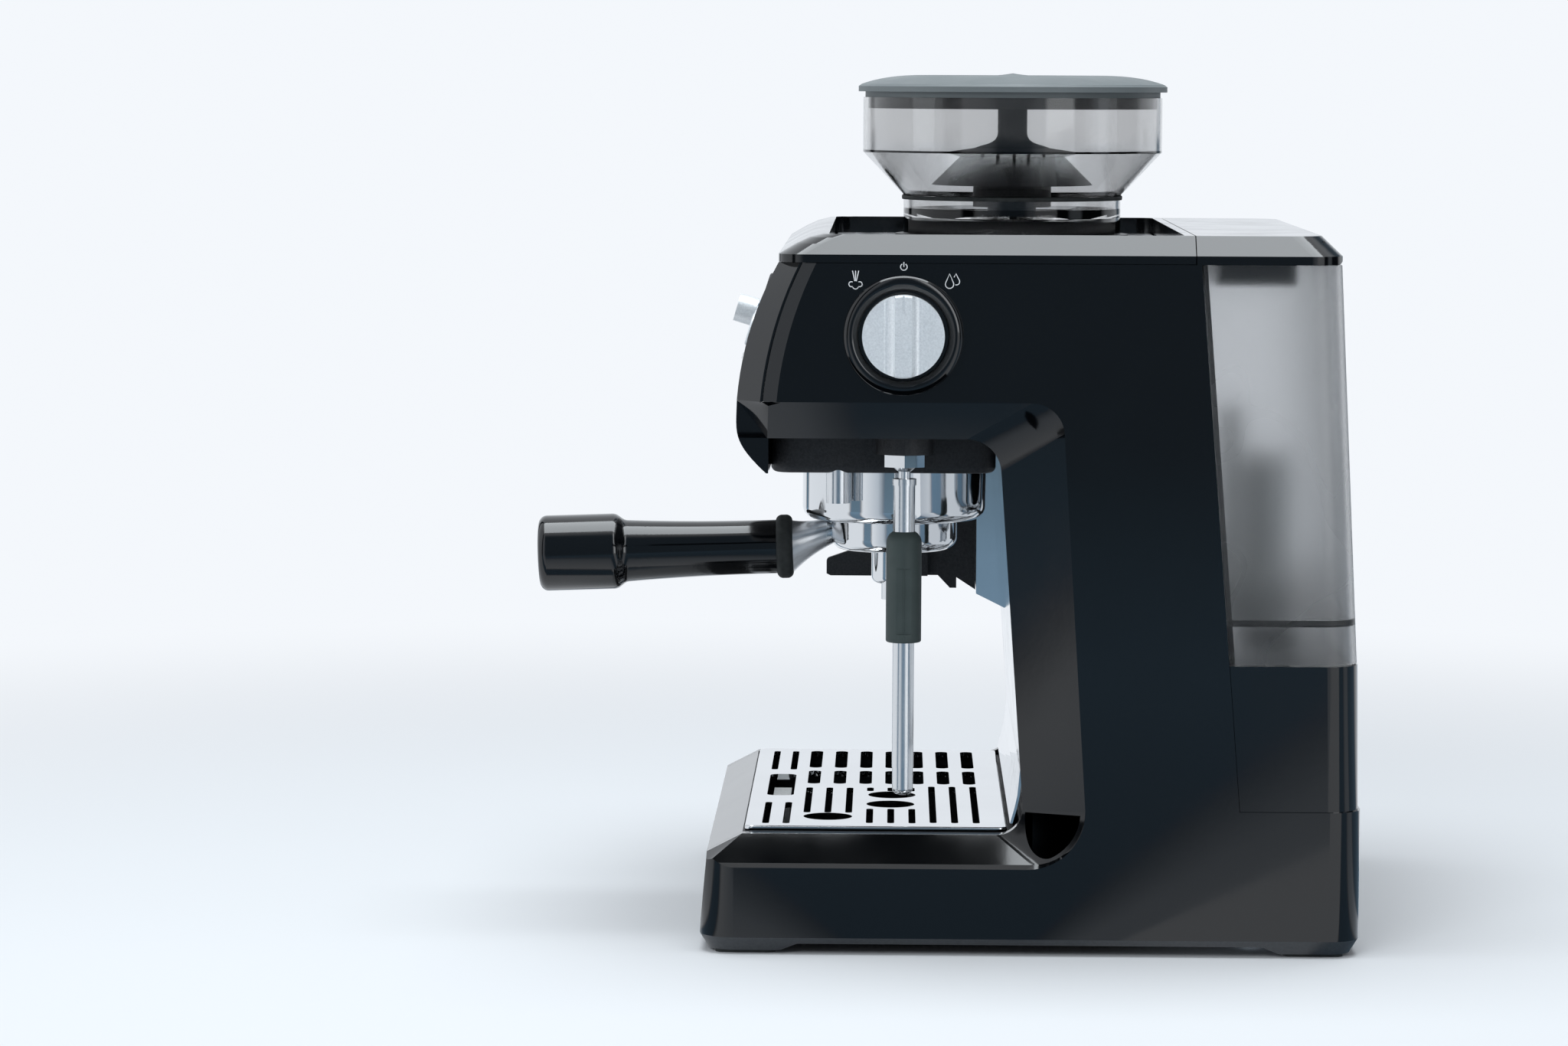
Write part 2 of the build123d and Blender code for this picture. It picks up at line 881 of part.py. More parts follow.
with BuildPart() as side_panel_right:
    for section_x, corners, front, sweep_round in panel_sections:
        with BuildSketch(Plane.YZ.offset(section_x)):
            add(panel_face(corners, front))
            fillet(vertices().sort_by_distance(corners[3])[0], radius=sweep_round)
    loft(ruled=True)
    with BuildSketch(Plane.YZ.offset(bevel_half)):
        add(panel_face(hollow_inside, wall))
        fillet(vertices().sort_by_distance((column_head_y + wall, head_lip_z + wall))[0], radius=lip_round)
    with BuildSketch(Plane.YZ.offset(half_width - wall)):
        add(panel_face(hollow_outside, wall))
        fillet(
            vertices().sort_by_distance((crease_head_y + wall, head_crease_z + wall))[0],
            radius=crease_round,
        )
    loft(ruled=True, mode=Mode.SUBTRACT)
    block(
        bevel_half,
        half_width - wall,
        seam_top_y + wall / 2,
        tank_seam_top_y - wall / 2,
        panel_top_z - wall,
        panel_top_z,
    )
    with BuildSketch(Plane.YZ.offset(half_width - wall - overrun)):
        with Locations((dial_y, dial_z)):
            Circle(dial_shaft_radius + shaft_gap)
    extrude(amount=wall + overrun + overrun, mode=Mode.SUBTRACT)
side_panel_right.part.label = "side_panel_right"
export_step(side_panel_right.part, "parts/side_panel_right.step")

with BuildPart() as side_panel_left:
    mirror(side_panel_right.part, about=Plane.YZ, mode=Mode.ADD)
side_panel_left.part.label = "side_panel_left"
export_step(side_panel_left.part, "parts/side_panel_left.step")

# The leaning plane that the front controls sit square to, at the middle of the fascia's curve.
lean = atan2(fascia_top_y - fascia_low_y, panel_top_z - head_crease_z)
control_plane = Plane(
    origin=(0, fascia_mid_y, fascia_mid_z), x_dir=(1, 0, 0), z_dir=(0, -cos(lean), sin(lean))
)
button_places = [(share * half_width, 0) for share in button_x_shares]
amount_place = (amount_x_share * half_width, -amount_drop)


def fascia_face(depth):
    """The fascia's side outline, moved back by a depth, with the seam as its rear edge."""
    with BuildSketch() as outline:
        with BuildLine():
            ThreePointArc(
                (fascia_low_y + depth, head_crease_z),
                (fascia_mid_y + depth, fascia_mid_z),
                (fascia_top_y + depth, panel_top_z),
            )
            Line((fascia_top_y + depth, panel_top_z), (seam_top_y - seam_gap, panel_top_z))
            ThreePointArc(
                (seam_top_y - seam_gap, panel_top_z),
                (seam_mid_y - seam_gap, fascia_mid_z),
                (seam_low_y - seam_gap, head_crease_z),
            )
            Line((seam_low_y - seam_gap, head_crease_z), (fascia_low_y + depth, head_crease_z))
        make_face()
    return outline.sketch


# Front fascia: a curved sheet whose ends wrap the corners and meet the side panels.
with BuildPart() as front_fascia:
    with BuildSketch(Plane.YZ.offset(bevel_half)):
        add(fascia_face(0))
    with BuildSketch(Plane.YZ.offset(half_width - seam_facet_depth)):
        with BuildLine():
            ThreePointArc(
                (seam_low_y - seam_gap - edge_round, head_crease_z),
                (seam_mid_y - seam_gap - edge_round, fascia_mid_z),
                (seam_top_y - seam_gap - edge_round, panel_top_z),
            )
            Line((seam_top_y - seam_gap - edge_round, panel_top_z), (seam_top_y - seam_gap, panel_top_z))
            ThreePointArc(
                (seam_top_y - seam_gap, panel_top_z),
                (seam_mid_y - seam_gap, fascia_mid_z),
                (seam_low_y - seam_gap, head_crease_z),
            )
            Line(
                (seam_low_y - seam_gap, head_crease_z),
                (seam_low_y - seam_gap - edge_round, head_crease_z),
            )
        make_face()
    loft(ruled=True)
    with BuildSketch(Plane.YZ):
        add(fascia_face(0))
    extrude(amount=bevel_half)
    mirror(about=Plane.YZ)
    with BuildSketch(Plane.YZ.offset(wall - bevel_half)):
        with BuildLine():
            ThreePointArc(
                (fascia_low_y + wall, head_crease_z),
                (fascia_mid_y + wall, fascia_mid_z),
                (fascia_top_y + wall, panel_top_z),
            )
            Polyline(
                (fascia_top_y + wall, panel_top_z),
                (seam_top_y + overrun, panel_top_z),
                (seam_top_y + overrun, head_crease_z),
                (fascia_low_y + wall, head_crease_z),
            )
        make_face()
    extrude(amount=bevel_half + bevel_half - wall - wall, mode=Mode.SUBTRACT)
    for low, high in ((-bevel_half, wall - bevel_half), (bevel_half - wall, bevel_half)):
        block(low, high, seam_mid_y, seam_top_y + wall, fascia_mid_z - tab_half, fascia_mid_z + tab_half)
    with BuildSketch(control_plane.offset(-board_depth)):
        with GridLocations(board_half, board_height - post_size - post_size, 2, 2):
            Circle(post_size)
    extrude(amount=board_depth - wall / 2)
    with BuildSketch(control_plane.offset(-board_depth - overrun)):
        with Locations((0, 0)):
            Circle(gauge_radius + seam_gap)
        with Locations(*button_places):
            Circle(button_radius + turn_gap)
        with Locations(amount_place):
            Circle(amount_shaft_radius + shaft_gap)
    extrude(amount=board_depth + overrun + overrun, mode=Mode.SUBTRACT)
front_fascia.part.label = "front_fascia"
export_step(front_fascia.part, "parts/front_fascia.step")

# Lower fascia: the chin that curves back below the fascia, down to the underplate.
chin_points = [
    (fascia_low_y, chin_top_z),
    (base_front + chin_nose_setback, chin_nose_z),
    (base_front + chin_bend_setback, chin_bend_z),
    (base_front + chin_cheek_setback, chin_cheek_z),
    (base_front + chin_foot_setback, chin_foot_z),
    (under_front_y, chin_foot_z),
    (under_front_y, chin_top_z),
]
with BuildPart() as lower_fascia:
    with BuildSketch(Plane.YZ.offset(-centre_half)):
        with BuildLine():
            Spline(*chin_points[:5])
            Polyline(*chin_points[4:], chin_points[0])
        make_face()
    extrude(amount=centre_half + centre_half)
lower_fascia.part.label = "lower_fascia"
export_step(lower_fascia.part, "parts/lower_fascia.step")

# Head underplate: a flange above the lip, and the block below it that carries the group.
with BuildPart() as head_underplate:
    block(-centre_half, centre_half, under_front_y, column_head_y - flange_margin, head_lip_z, flange_top_z)
    block(
        under_left_x,
        under_right_x,
        under_front_y,
        under_rear_y,
        under_bottom_z,
        head_lip_z,
        corner=under_corner,
    )
    fillet(edges().group_by(Axis.Z)[0], radius=under_edge)
    disc(wand_x, wand_y, boss_bottom_z, head_lip_z, boss_radius)
    disc(wand_x, wand_y, boss_bottom_z - overrun, flange_top_z + overrun, boss_bore, mode=Mode.SUBTRACT)
    disc(
        water_notch_x,
        water_y,
        under_bottom_z - overrun,
        water_notch_top_z,
        water_notch_radius,
        mode=Mode.SUBTRACT,
    )
    disc(
        water_x,
        water_y,
        water_notch_top_z - overrun,
        flange_top_z + overrun,
        water_radius + shaft_gap,
        mode=Mode.SUBTRACT,
    )
    disc(
        group_x,
        group_y,
        under_bottom_z - overrun,
        flange_top_z + overrun,
        head_radius + seam_gap,
        mode=Mode.SUBTRACT,
    )
    disc(
        grinder_x,
        chute_y,
        under_bottom_z - overrun,
        flange_top_z + overrun,
        chute_bore,
        mode=Mode.SUBTRACT,
    )
head_underplate.part.label = "head_underplate"
export_step(head_underplate.part, "parts/head_underplate.step")

# Top cover: a bevelled lid over head and column, with the recess for warming cups.
cover_bevel_height = body_top_z - cover_band_z
cover_sections = [(0, 0), *cover_bevel_steps, (1, 1)]
with BuildPart() as top_cover:
    with BuildSketch(Plane.XY.offset(cover_bottom_z)):
        with Locations((0, (fascia_top_y + cover_rear_y) / 2)):
            Rectangle(body_width, cover_rear_y - fascia_top_y)
        fillet(vertices().group_by(Axis.Y)[0], radius=cover_corner)
    extrude(amount=cover_band_z - cover_bottom_z)
    for rise_share, front_share in cover_sections:
        side_x = half_width - rise_share * cover_bevel_inset
        front_y = fascia_top_y + front_share * cover_bevel_front
        with BuildSketch(Plane.XY.offset(cover_band_z + rise_share * cover_bevel_height)):
            with Locations((0, (front_y + cover_rear_y) / 2)):
                Rectangle(side_x + side_x, cover_rear_y - front_y)
            fillet(vertices().group_by(Axis.Y)[0], radius=cover_corner)
    loft(ruled=True)
    block(
        -recess_half,
        recess_half,
        recess_front_y,
        recess_rear_y,
        cover_floor_z,
        body_top_z + overrun,
        corner=recess_corner,
        mode=Mode.SUBTRACT,
    )
    for low, high in ((-bevel_half, wall - bevel_half), (bevel_half - wall, bevel_half)):
        block(low, high, seam_top_y + wall, cover_rear_y - wall, panel_top_z - wall, cover_bottom_z)
    disc(
        grinder_x,
        grinder_y,
        panel_top_z - overrun,
        body_top_z + overrun,
        skirt_clear_radius + collar_ring_wall + seam_gap,
        mode=Mode.SUBTRACT,
    )
top_cover.part.label = "top_cover"
export_step(top_cover.part, "parts/top_cover.step")

# Cup warmer plate: a slotted sheet that lies in the recess round the hopper.
with BuildPart() as cup_warmer_plate:
    block(
        edge_round - recess_half,
        recess_half - edge_round,
        recess_front_y + edge_round,
        recess_rear_y - edge_round,
        cover_floor_z,
        cover_floor_z + sheet,
        corner=recess_corner - edge_round,
    )
    disc(
        grinder_x,
        grinder_y,
        cover_floor_z - overrun,
        cover_floor_z + overrun + overrun,
        skirt_clear_radius + collar_ring_wall + seam_gap + edge_round,
        mode=Mode.SUBTRACT,
    )
    with BuildSketch(Plane.XY.offset(cover_floor_z - overrun)):
        with Locations((plate_slot_x, (recess_front_y + recess_rear_y) / 2)):
            with GridLocations(0, plate_slot_pitch, 1, plate_slot_count):
                SlotOverall(plate_slot_length, plate_slot_width)
    extrude(amount=overrun + overrun + sheet, mode=Mode.SUBTRACT)
cup_warmer_plate.part.label = "cup_warmer_plate"
export_step(cup_warmer_plate.part, "parts/cup_warmer_plate.step")

# Backsplash: a polished sheet down the front of the column, with a foot and the shroud behind the chute.
skirt_front = [
    (column_y(skirt_top_z), skirt_top_z),
    (base_front + skirt_bend_setback, skirt_bend_z),
    (base_front + skirt_knee_setback, skirt_knee_z),
    (base_front + skirt_foot_setback, skirt_foot_z),
]
skirt_back = [(y + sheet, z) for y, z in reversed(skirt_front)]
with BuildPart() as backsplash:
    prism(skirt_front + skirt_back, edge_round - bay_half, bay_half - edge_round)
    prism(
        [
            (column_y(base_top_z), base_top_z),
            (column_y(base_top_z) + sheet, base_top_z),
            (column_y(head_lip_z) + sheet, head_lip_z),
            (column_y(head_lip_z), head_lip_z),
        ],
        -centre_half,
        centre_half,
    )
    prism(
        [
            (shroud_front_y, under_bottom_z),
            (shroud_front_y, shroud_low_z),
            (column_y(shroud_tip_z), shroud_tip_z),
            (column_y(under_bottom_z), under_bottom_z),
        ],
        grinder_x - shroud_half,
        grinder_x + shroud_half,
    )
backsplash.part.label = "backsplash"
export_step(backsplash.part, "parts/backsplash.step")

# Rear housing below the tank, with the wall that closes the tank's bay.
with BuildPart() as rear_housing:
    prism(
        [
            (tank_seam_y(base_top_z) + seam_gap, base_top_z),
            (base_front + rear_setback_low, base_top_z),
            (base_front + rear_setback_top, rear_top_z),
            (tank_seam_y(rear_top_z) + seam_gap, rear_top_z),
        ],
        -rear_half,
        rear_half,
    )
    fillet(
        edges().filter_by(lambda edge: edge.length < half_width).group_by(Axis.Y)[-1],
        radius=base_rear_round,
    )
    prism(
        [
            (tank_seam_y(base_top_z) + seam_gap + wall, base_top_z - overrun),
            (base_front + rear_setback_low - wall, base_top_z - overrun),
            (base_front + rear_setback_top - wall, rear_top_z - wall),
            (tank_seam_y(rear_top_z) + seam_gap + wall, rear_top_z - wall),
        ],
        base_rear_round - rear_half,
        rear_half - base_rear_round,
        mode=Mode.SUBTRACT,
    )
    disc(0, valve_y, rear_top_z - overrun, tank_bottom_z + seat_height, tank_valve_radius + turn_gap + wall)
    disc(
        0,
        valve_y,
        rear_top_z,
        tank_bottom_z + seat_height + overrun,
        tank_valve_radius + turn_gap,
        mode=Mode.SUBTRACT,
    )
    prism(
        [
            (tank_seam_y(base_top_z) - plate, base_top_z),
            (tank_seam_y(base_top_z) + seam_gap, base_top_z),
            (tank_seam_y(base_top_z) + seam_gap + wall, base_top_z),
            (tank_seam_y(rear_top_z) + seam_gap + wall, rear_top_z),
            (tank_seam_y(rear_top_z), rear_top_z),
            (tank_seam_y(panel_top_z), panel_top_z),
            (tank_seam_y(panel_top_z) - plate, panel_top_z),
        ],
        -centre_half,
        centre_half,
    )
    with BuildSketch(Plane.XZ.offset(-tank_seam_low_y)):
        with Locations((0, pump_z)):
            Circle(hose_hole)
    extrude(amount=base_rear_round, both=True, mode=Mode.SUBTRACT)
rear_housing.part.label = "rear_housing"
export_step(rear_housing.part, "parts/rear_housing.step")

# Chassis: a deck on the underplate and a back plate down to the base that carries the pump.
with BuildPart() as chassis:
    block(
        deck_margin - centre_half,
        centre_half - deck_margin,
        under_front_y + deck_margin,
        deck_rear_y,
        flange_top_z,
        deck_top_z,
    )
    block(
        deck_margin - centre_half,
        centre_half - deck_margin,
        deck_rear_y - deck_thickness,
        deck_rear_y,
        base_top_z,
        flange_top_z,
    )
    disc(
        group_x,
        group_y,
        flange_top_z - overrun,
        deck_top_z + overrun,
        head_radius + seam_gap,
        mode=Mode.SUBTRACT,
    )
    disc(wand_x, wand_y, flange_top_z - overrun, deck_top_z + overrun, boss_bore, mode=Mode.SUBTRACT)
    disc(
        water_x,
        water_y,
        flange_top_z - overrun,
        deck_top_z + overrun,
        water_radius + shaft_gap,
        mode=Mode.SUBTRACT,
    )
    disc(
        grinder_x,
        grinder_y,
        flange_top_z - overrun,
        deck_top_z + overrun,
        burr_shaft_radius + turn_gap,
        mode=Mode.SUBTRACT,
    )
    disc(grinder_x, chute_y, flange_top_z - overrun, deck_top_z + overrun, chute_bore, mode=Mode.SUBTRACT)
    disc(
        hose_deck_x,
        heater_front_y,
        flange_top_z - overrun,
        deck_top_z + overrun,
        hose_hole,
        mode=Mode.SUBTRACT,
    )
    with BuildSketch(Plane.XZ.offset(overrun - deck_rear_y)):
        with Locations((0, pump_z)):
            Circle(hose_hole)
    extrude(amount=deck_thickness + overrun + overrun, both=True, mode=Mode.SUBTRACT)
    block(
        pump_x - pump_bracket,
        pump_x + pump_bracket,
        pump_y + pump_radius,
        deck_rear_y - deck_thickness,
        pump_z - pump_bracket,
        pump_z + pump_bracket,
    )
chassis.part.label = "chassis"
export_step(chassis.part, "parts/chassis.step")

# Grinder housing: a cup on the deck that holds the burrs and ends in the ring for the hopper.
with BuildPart() as grinder_housing:
    turned(
        [
            (burr_shaft_radius + shaft_gap, deck_top_z),
            (grinder_radius, deck_top_z),
            (grinder_radius, hopper_seat_z - collar_ring_wall),
            (skirt_clear_radius + collar_ring_wall, hopper_seat_z - collar_ring_wall),
            (skirt_clear_radius + collar_ring_wall, collar_ring_top_z),
            (skirt_clear_radius, collar_ring_top_z),
            (skirt_clear_radius, hopper_seat_z),
            (upper_burr_radius + turn_gap, hopper_seat_z),
            (upper_burr_radius + turn_gap, upper_burr_low_z - turn_gap),
            (upper_burr_bore + grinder_wall, upper_burr_low_z - turn_gap),
            (upper_burr_bore + grinder_wall, burr_floor_z),
            (burr_shaft_radius + shaft_gap, burr_floor_z),
        ],
        upright(grinder_x, grinder_y),
        spindle(grinder_x, grinder_y),
    )
    disc(grinder_x, chute_y, deck_top_z - overrun, burr_floor_z + overrun, chute_bore, mode=Mode.SUBTRACT)
grinder_housing.part.label = "grinder_housing"
export_step(grinder_housing.part, "parts/grinder_housing.step")

# Upper burr in its carrier, which the grind dial turns to set the gap.
with BuildPart() as upper_burr:
    turned(
        [
            (upper_burr_bore, upper_burr_low_z),
            (upper_burr_radius, upper_burr_low_z),
            (upper_burr_radius, upper_burr_top_z),
            (upper_burr_bore - plate, upper_burr_top_z),
        ],
        upright(grinder_x, grinder_y),
        spindle(grinder_x, grinder_y),
    )
upper_burr.part.label = "upper_burr"
export_step(upper_burr.part, "parts/upper_burr.step")

# Lower burr: a ribbed cone on the shaft that the gearbox turns.
with BuildPart() as lower_burr:
    disc(grinder_x, grinder_y, flange_top_z - shaft_dip + turn_gap, burr_foot_z, burr_shaft_radius)
    turned(
        [
            (0, burr_foot_z),
            (lower_burr_radius, burr_foot_z),
            (lower_burr_radius, upper_burr_low_z),
            (lower_burr_tip_radius, upper_burr_top_z),
            (0, upper_burr_top_z),
        ],
        upright(grinder_x, grinder_y),
        spindle(grinder_x, grinder_y),
    )
    with BuildSketch(Plane.XY.offset(burr_foot_z)):
        with Locations((grinder_x, grinder_y)):
            with PolarLocations(lower_burr_radius, burr_rib_count):
                Rectangle(burr_rib + burr_rib, burr_rib)
    extrude(amount=upper_burr_low_z - burr_foot_z)
lower_burr.part.label = "lower_burr"
export_step(lower_burr.part, "parts/lower_burr.step")

# Grinder motor: a can behind the column's front, and a flat gearbox under the deck.
with BuildPart() as grinder_motor:
    disc(grinder_x, motor_y, motor_bottom_z, motor_top_z, motor_radius)
    disc(grinder_x, motor_y, motor_bottom_z - motor_cap, motor_bottom_z, motor_radius / 2)
    block(
        grinder_x - gearbox_half,
        grinder_x + gearbox_half,
        grinder_y - gearbox_nose,
        motor_y + motor_radius,
        motor_top_z,
        flange_top_z,
        corner=gearbox_corner,
    )
    disc(
        grinder_x,
        grinder_y,
        flange_top_z - shaft_dip,
        flange_top_z + overrun,
        burr_shaft_radius + shaft_gap,
        mode=Mode.SUBTRACT,
    )
grinder_motor.part.label = "grinder_motor"
export_step(grinder_motor.part, "parts/grinder_motor.step")

# Grinding cradle: the chute with its hook and outlet nose, and the fork that holds the portafilter.
with BuildPart() as grinding_cradle:
    prism(
        [
            (chute_front_y, cradle_bottom_z),
            (hook_front_y, cradle_bottom_z),
            (hook_front_y + hook_slope, hook_bottom_z),
            (hook_front_y + hook_slope + hook_width, hook_bottom_z),
            (hook_front_y + hook_slope + hook_width, hook_top_z),
            (chute_rear_y, chute_low_rear_z),
            (chute_rear_y, under_bottom_z),
            (chute_front_y, under_bottom_z),
        ],
        grinder_x - chute_half,
        grinder_x + chute_half,
    )
    with BuildSketch(Plane.YZ.offset(grinder_x - cradle_half)) as fork_outline:
        with BuildLine():
            Polyline(
                (cradle_front_y, cradle_bottom_z + edge_round),
                (cradle_front_y, cradle_tip_z),
                (cradle_front_y + cradle_tip_length, cradle_top_z),
                (chute_front_y + plate, cradle_top_z),
                (chute_front_y + plate, cradle_bottom_z),
                (cradle_front_y + cradle_tip_round, cradle_bottom_z),
                close=True,
            )
        make_face()
        fillet(vertices().sort_by_distance((cradle_front_y, cradle_tip_z))[0], radius=cradle_tip_round)
    extrude(fork_outline.sketch, amount=cradle_half + cradle_half)
    block(
        grinder_x - nose_half,
        grinder_x + nose_half,
        nose_front_y,
        chute_front_y,
        nose_bottom_z,
        under_bottom_z,
    )
    block(
        grinder_x - cradle_gap_half,
        grinder_x + cradle_gap_half,
        cradle_front_y - overrun,
        chute_front_y - plate,
        cradle_lip_z,
        cradle_top_z + overrun,
        mode=Mode.SUBTRACT,
    )
    block(
        grinder_x - cradle_gap_half + wall,
        grinder_x + cradle_gap_half - wall,
        cradle_front_y - overrun,
        chute_front_y - plate - wall,
        cradle_bottom_z - overrun,
        cradle_lip_z + overrun,
        mode=Mode.SUBTRACT,
    )
    duct_run = chute_y - outlet_y
    duct_drop = under_bottom_z - nose_bottom_z
    duct_length = hypot(duct_run, duct_drop)
    duct_plane = Plane(
        origin=(grinder_x, chute_y, under_bottom_z),
        x_dir=(1, 0, 0),
        z_dir=(0, -duct_run, -duct_drop),
    )
    with BuildSketch(duct_plane.offset(-chute_bore)):
        Circle(duct_radius)
    extrude(amount=duct_length + chute_bore + chute_bore, mode=Mode.SUBTRACT)
    with BuildSketch(Plane.XZ.offset(overrun - chute_front_y)):
        with Locations((grinder_x, switch_z)):
            Circle(switch_radius + shaft_gap)
    extrude(amount=-(overrun + switch_pocket), mode=Mode.SUBTRACT)
grinding_cradle.part.label = "grinding_cradle"
export_step(grinding_cradle.part, "parts/grinding_cradle.step")

# Cradle switch: the plunger that the portafilter pushes back to start the grinder.
with BuildPart() as cradle_switch:
    with BuildSketch(Plane.XZ.offset(-(chute_front_y + switch_pocket - switch_travel - turn_gap))):
        with Locations((grinder_x, switch_z)):
            Circle(switch_radius)
    extrude(amount=switch_length)
    fillet(edges().group_by(Axis.Y)[0], radius=edge_round)
cradle_switch.part.label = "cradle_switch"
export_step(cradle_switch.part, "parts/cradle_switch.step")

# Water pump on its bracket, and the heater above it.
with BuildPart() as water_pump:
    with BuildSketch(Plane.YZ.offset(pump_x - pump_length / 2)):
        with Locations((pump_y, pump_z)):
            Circle(pump_radius)
    extrude(amount=pump_length)
    with BuildSketch(Plane.YZ.offset(pump_x - pump_length / 4)):
        with Locations((pump_y, pump_z)):
            Rectangle(pump_radius + pump_radius, pump_radius + pump_radius)
    extrude(amount=pump_length / 2)
water_pump.part.label = "water_pump"
export_step(water_pump.part, "parts/water_pump.step")

with BuildPart() as heater:
    disc(heater_x, heater_y, heater_bottom_z, heater_bottom_z + heater_height, heater_radius)
    disc(
        heater_x,
        heater_y,
        heater_bottom_z - overrun,
        heater_bottom_z + heater_height + overrun,
        heater_bore,
        mode=Mode.SUBTRACT,
    )
    block(
        heater_x - pump_bracket,
        heater_x + pump_bracket,
        heater_y + heater_bore + plate,
        deck_rear_y - deck_thickness,
        heater_bottom_z + plate,
        heater_bottom_z + heater_height - plate,
    )
heater.part.label = "heater"
export_step(heater.part, "parts/heater.step")

# Group head: the block above the group, on a flange that rests on the deck.
with BuildPart() as group_head:
    disc(group_x, group_y, group_face_z, group_face_z + head_height, head_radius)
    disc(group_x, group_y, deck_top_z, deck_top_z + head_flange_height, head_flange_radius)
    disc(
        group_x,
        group_y,
        group_face_z - overrun,
        group_face_z + head_height + overrun,
        hose_bore,
        mode=Mode.SUBTRACT,
    )
group_head.part.label = "group_head"
export_step(group_head.part, "parts/group_head.step")

# Group collar: the polished ring whose slotted lip holds the portafilter's ears.
ear_radius = rim_radius + ear_reach
with BuildPart() as group_collar:
    turned(
        [
            (rim_radius + rim_clearance, collar_bottom_z),
            (collar_radius, collar_bottom_z),
            (collar_radius, under_bottom_z),
            (head_radius + shaft_gap, under_bottom_z),
            (head_radius + shaft_gap, gasket_bottom_z),
            (ear_radius + rim_clearance, gasket_bottom_z),
            (ear_radius + rim_clearance, collar_bottom_z + collar_lip),
            (rim_radius + rim_clearance, collar_bottom_z + collar_lip),
        ],
        upright(group_x, group_y),
        spindle(group_x, group_y),
    )
    fillet(
        edges().filter_by(GeomType.CIRCLE).group_by(Axis.Z)[0].sort_by(SortBy.RADIUS)[-1],
        radius=collar_edge,
    )
    with BuildSketch(Plane.XY.offset(collar_bottom_z - overrun)):
        with Locations((group_x, group_y)):
            Rectangle(
                ear_radius + ear_radius + rim_clearance + rim_clearance,
                ear_width + ear_slot_extra,
                rotation=-unlock_angle,
            )
    extrude(amount=overrun + collar_lip, mode=Mode.SUBTRACT)
group_collar.part.label = "group_collar"
export_step(group_collar.part, "parts/group_collar.step")

# Group gasket and shower screen under the group head.
with BuildPart() as group_gasket:
    with BuildSketch(Plane.XY.offset(gasket_bottom_z)):
        with Locations((group_x, group_y)):
            Circle(head_radius)
            Circle(gasket_inner_radius, mode=Mode.SUBTRACT)
    extrude(amount=gasket_height)
group_gasket.part.label = "group_gasket"
export_step(group_gasket.part, "parts/group_gasket.step")

with BuildPart() as shower_screen:
    with BuildSketch(Plane.XY.offset(group_face_z - screen_drop)):
        with Locations((group_x, group_y)):
            Circle(screen_radius)
            with PolarLocations(screen_radius * screen_hole_share, screen_hole_count):
                Circle(screen_hole_radius, mode=Mode.SUBTRACT)
            with PolarLocations(screen_radius * screen_hole_share / 2, screen_hole_count // 2):
                Circle(screen_hole_radius, mode=Mode.SUBTRACT)
    extrude(amount=screen_drop)
shower_screen.part.label = "shower_screen"
export_step(shower_screen.part, "parts/shower_screen.step")

# Portafilter bowl with its two ears, its neck and the stud that the handle screws on.
handle_run = neck_end_y - handle_tip_y
handle_drop = neck_end_z - handle_tip_z
handle_length = hypot(handle_run, handle_drop)
handle_plane = Plane(
    origin=(group_x, neck_end_y, neck_end_z), x_dir=(1, 0, 0), z_dir=(0, -handle_run, -handle_drop)
)
handle_section = Plane(
    origin=(group_x, neck_end_y, neck_end_z), x_dir=(0, -handle_run, -handle_drop), z_dir=(1, 0, 0)
)
handle_axis = Axis((group_x, neck_end_y, neck_end_z), (0, -handle_run, -handle_drop))
neck_root_y = group_y - bowl_radius + bowl_wall / 2
neck_waist_y = neck_root_y + neck_waist_share * (neck_end_y - neck_root_y)


def neck_ring(y, z, radius):
    """A round section of the neck, square to the handle's axis."""
    with BuildSketch(Plane(origin=(group_x, y, z), x_dir=(1, 0, 0), z_dir=handle_plane.z_dir)) as outline:
        Circle(radius)
    return outline.sketch


with BuildPart() as portafilter_bowl:
    turned(
        [
            (bowl_outlet_radius, bowl_bottom_z),
            (bowl_radius, bowl_bottom_z),
            (bowl_radius, bowl_top_z - bowl_rim_height),
            (rim_radius, bowl_top_z - bowl_rim_height),
            (rim_radius, bowl_top_z),
            (bowl_radius - bowl_wall, bowl_top_z),
            (bowl_radius - bowl_wall, bowl_bottom_z + bowl_floor),
            (bowl_outlet_radius, bowl_bottom_z + bowl_floor),
        ],
        upright(group_x, group_y),
        spindle(group_x, group_y),
    )
    fillet(
        edges().filter_by(GeomType.CIRCLE).group_by(Axis.Z)[0].sort_by(SortBy.RADIUS)[-1],
        radius=bowl_edge,
    )
    with BuildSketch(Plane.XY.offset(collar_bottom_z + collar_lip + turn_gap)):
        with Locations((group_x, group_y)):
            Circle(ear_radius)
            Rectangle(ear_radius + ear_radius, ear_width, mode=Mode.INTERSECT)
            Circle(bowl_radius - bowl_wall / 2, mode=Mode.SUBTRACT)
    extrude(amount=ear_height)
    loft(
        [
            neck_ring(neck_root_y, neck_root_z, neck_root_radius),
            neck_ring(neck_waist_y, neck_waist_z, neck_waist_radius),
            neck_ring(neck_end_y, neck_end_z, neck_radius),
        ]
    )
    with BuildSketch(handle_plane):
        Circle(stud_radius)
    extrude(amount=stud_length)
portafilter_bowl.part.label = "portafilter_bowl"
export_step(portafilter_bowl.part, "parts/portafilter_bowl.step")

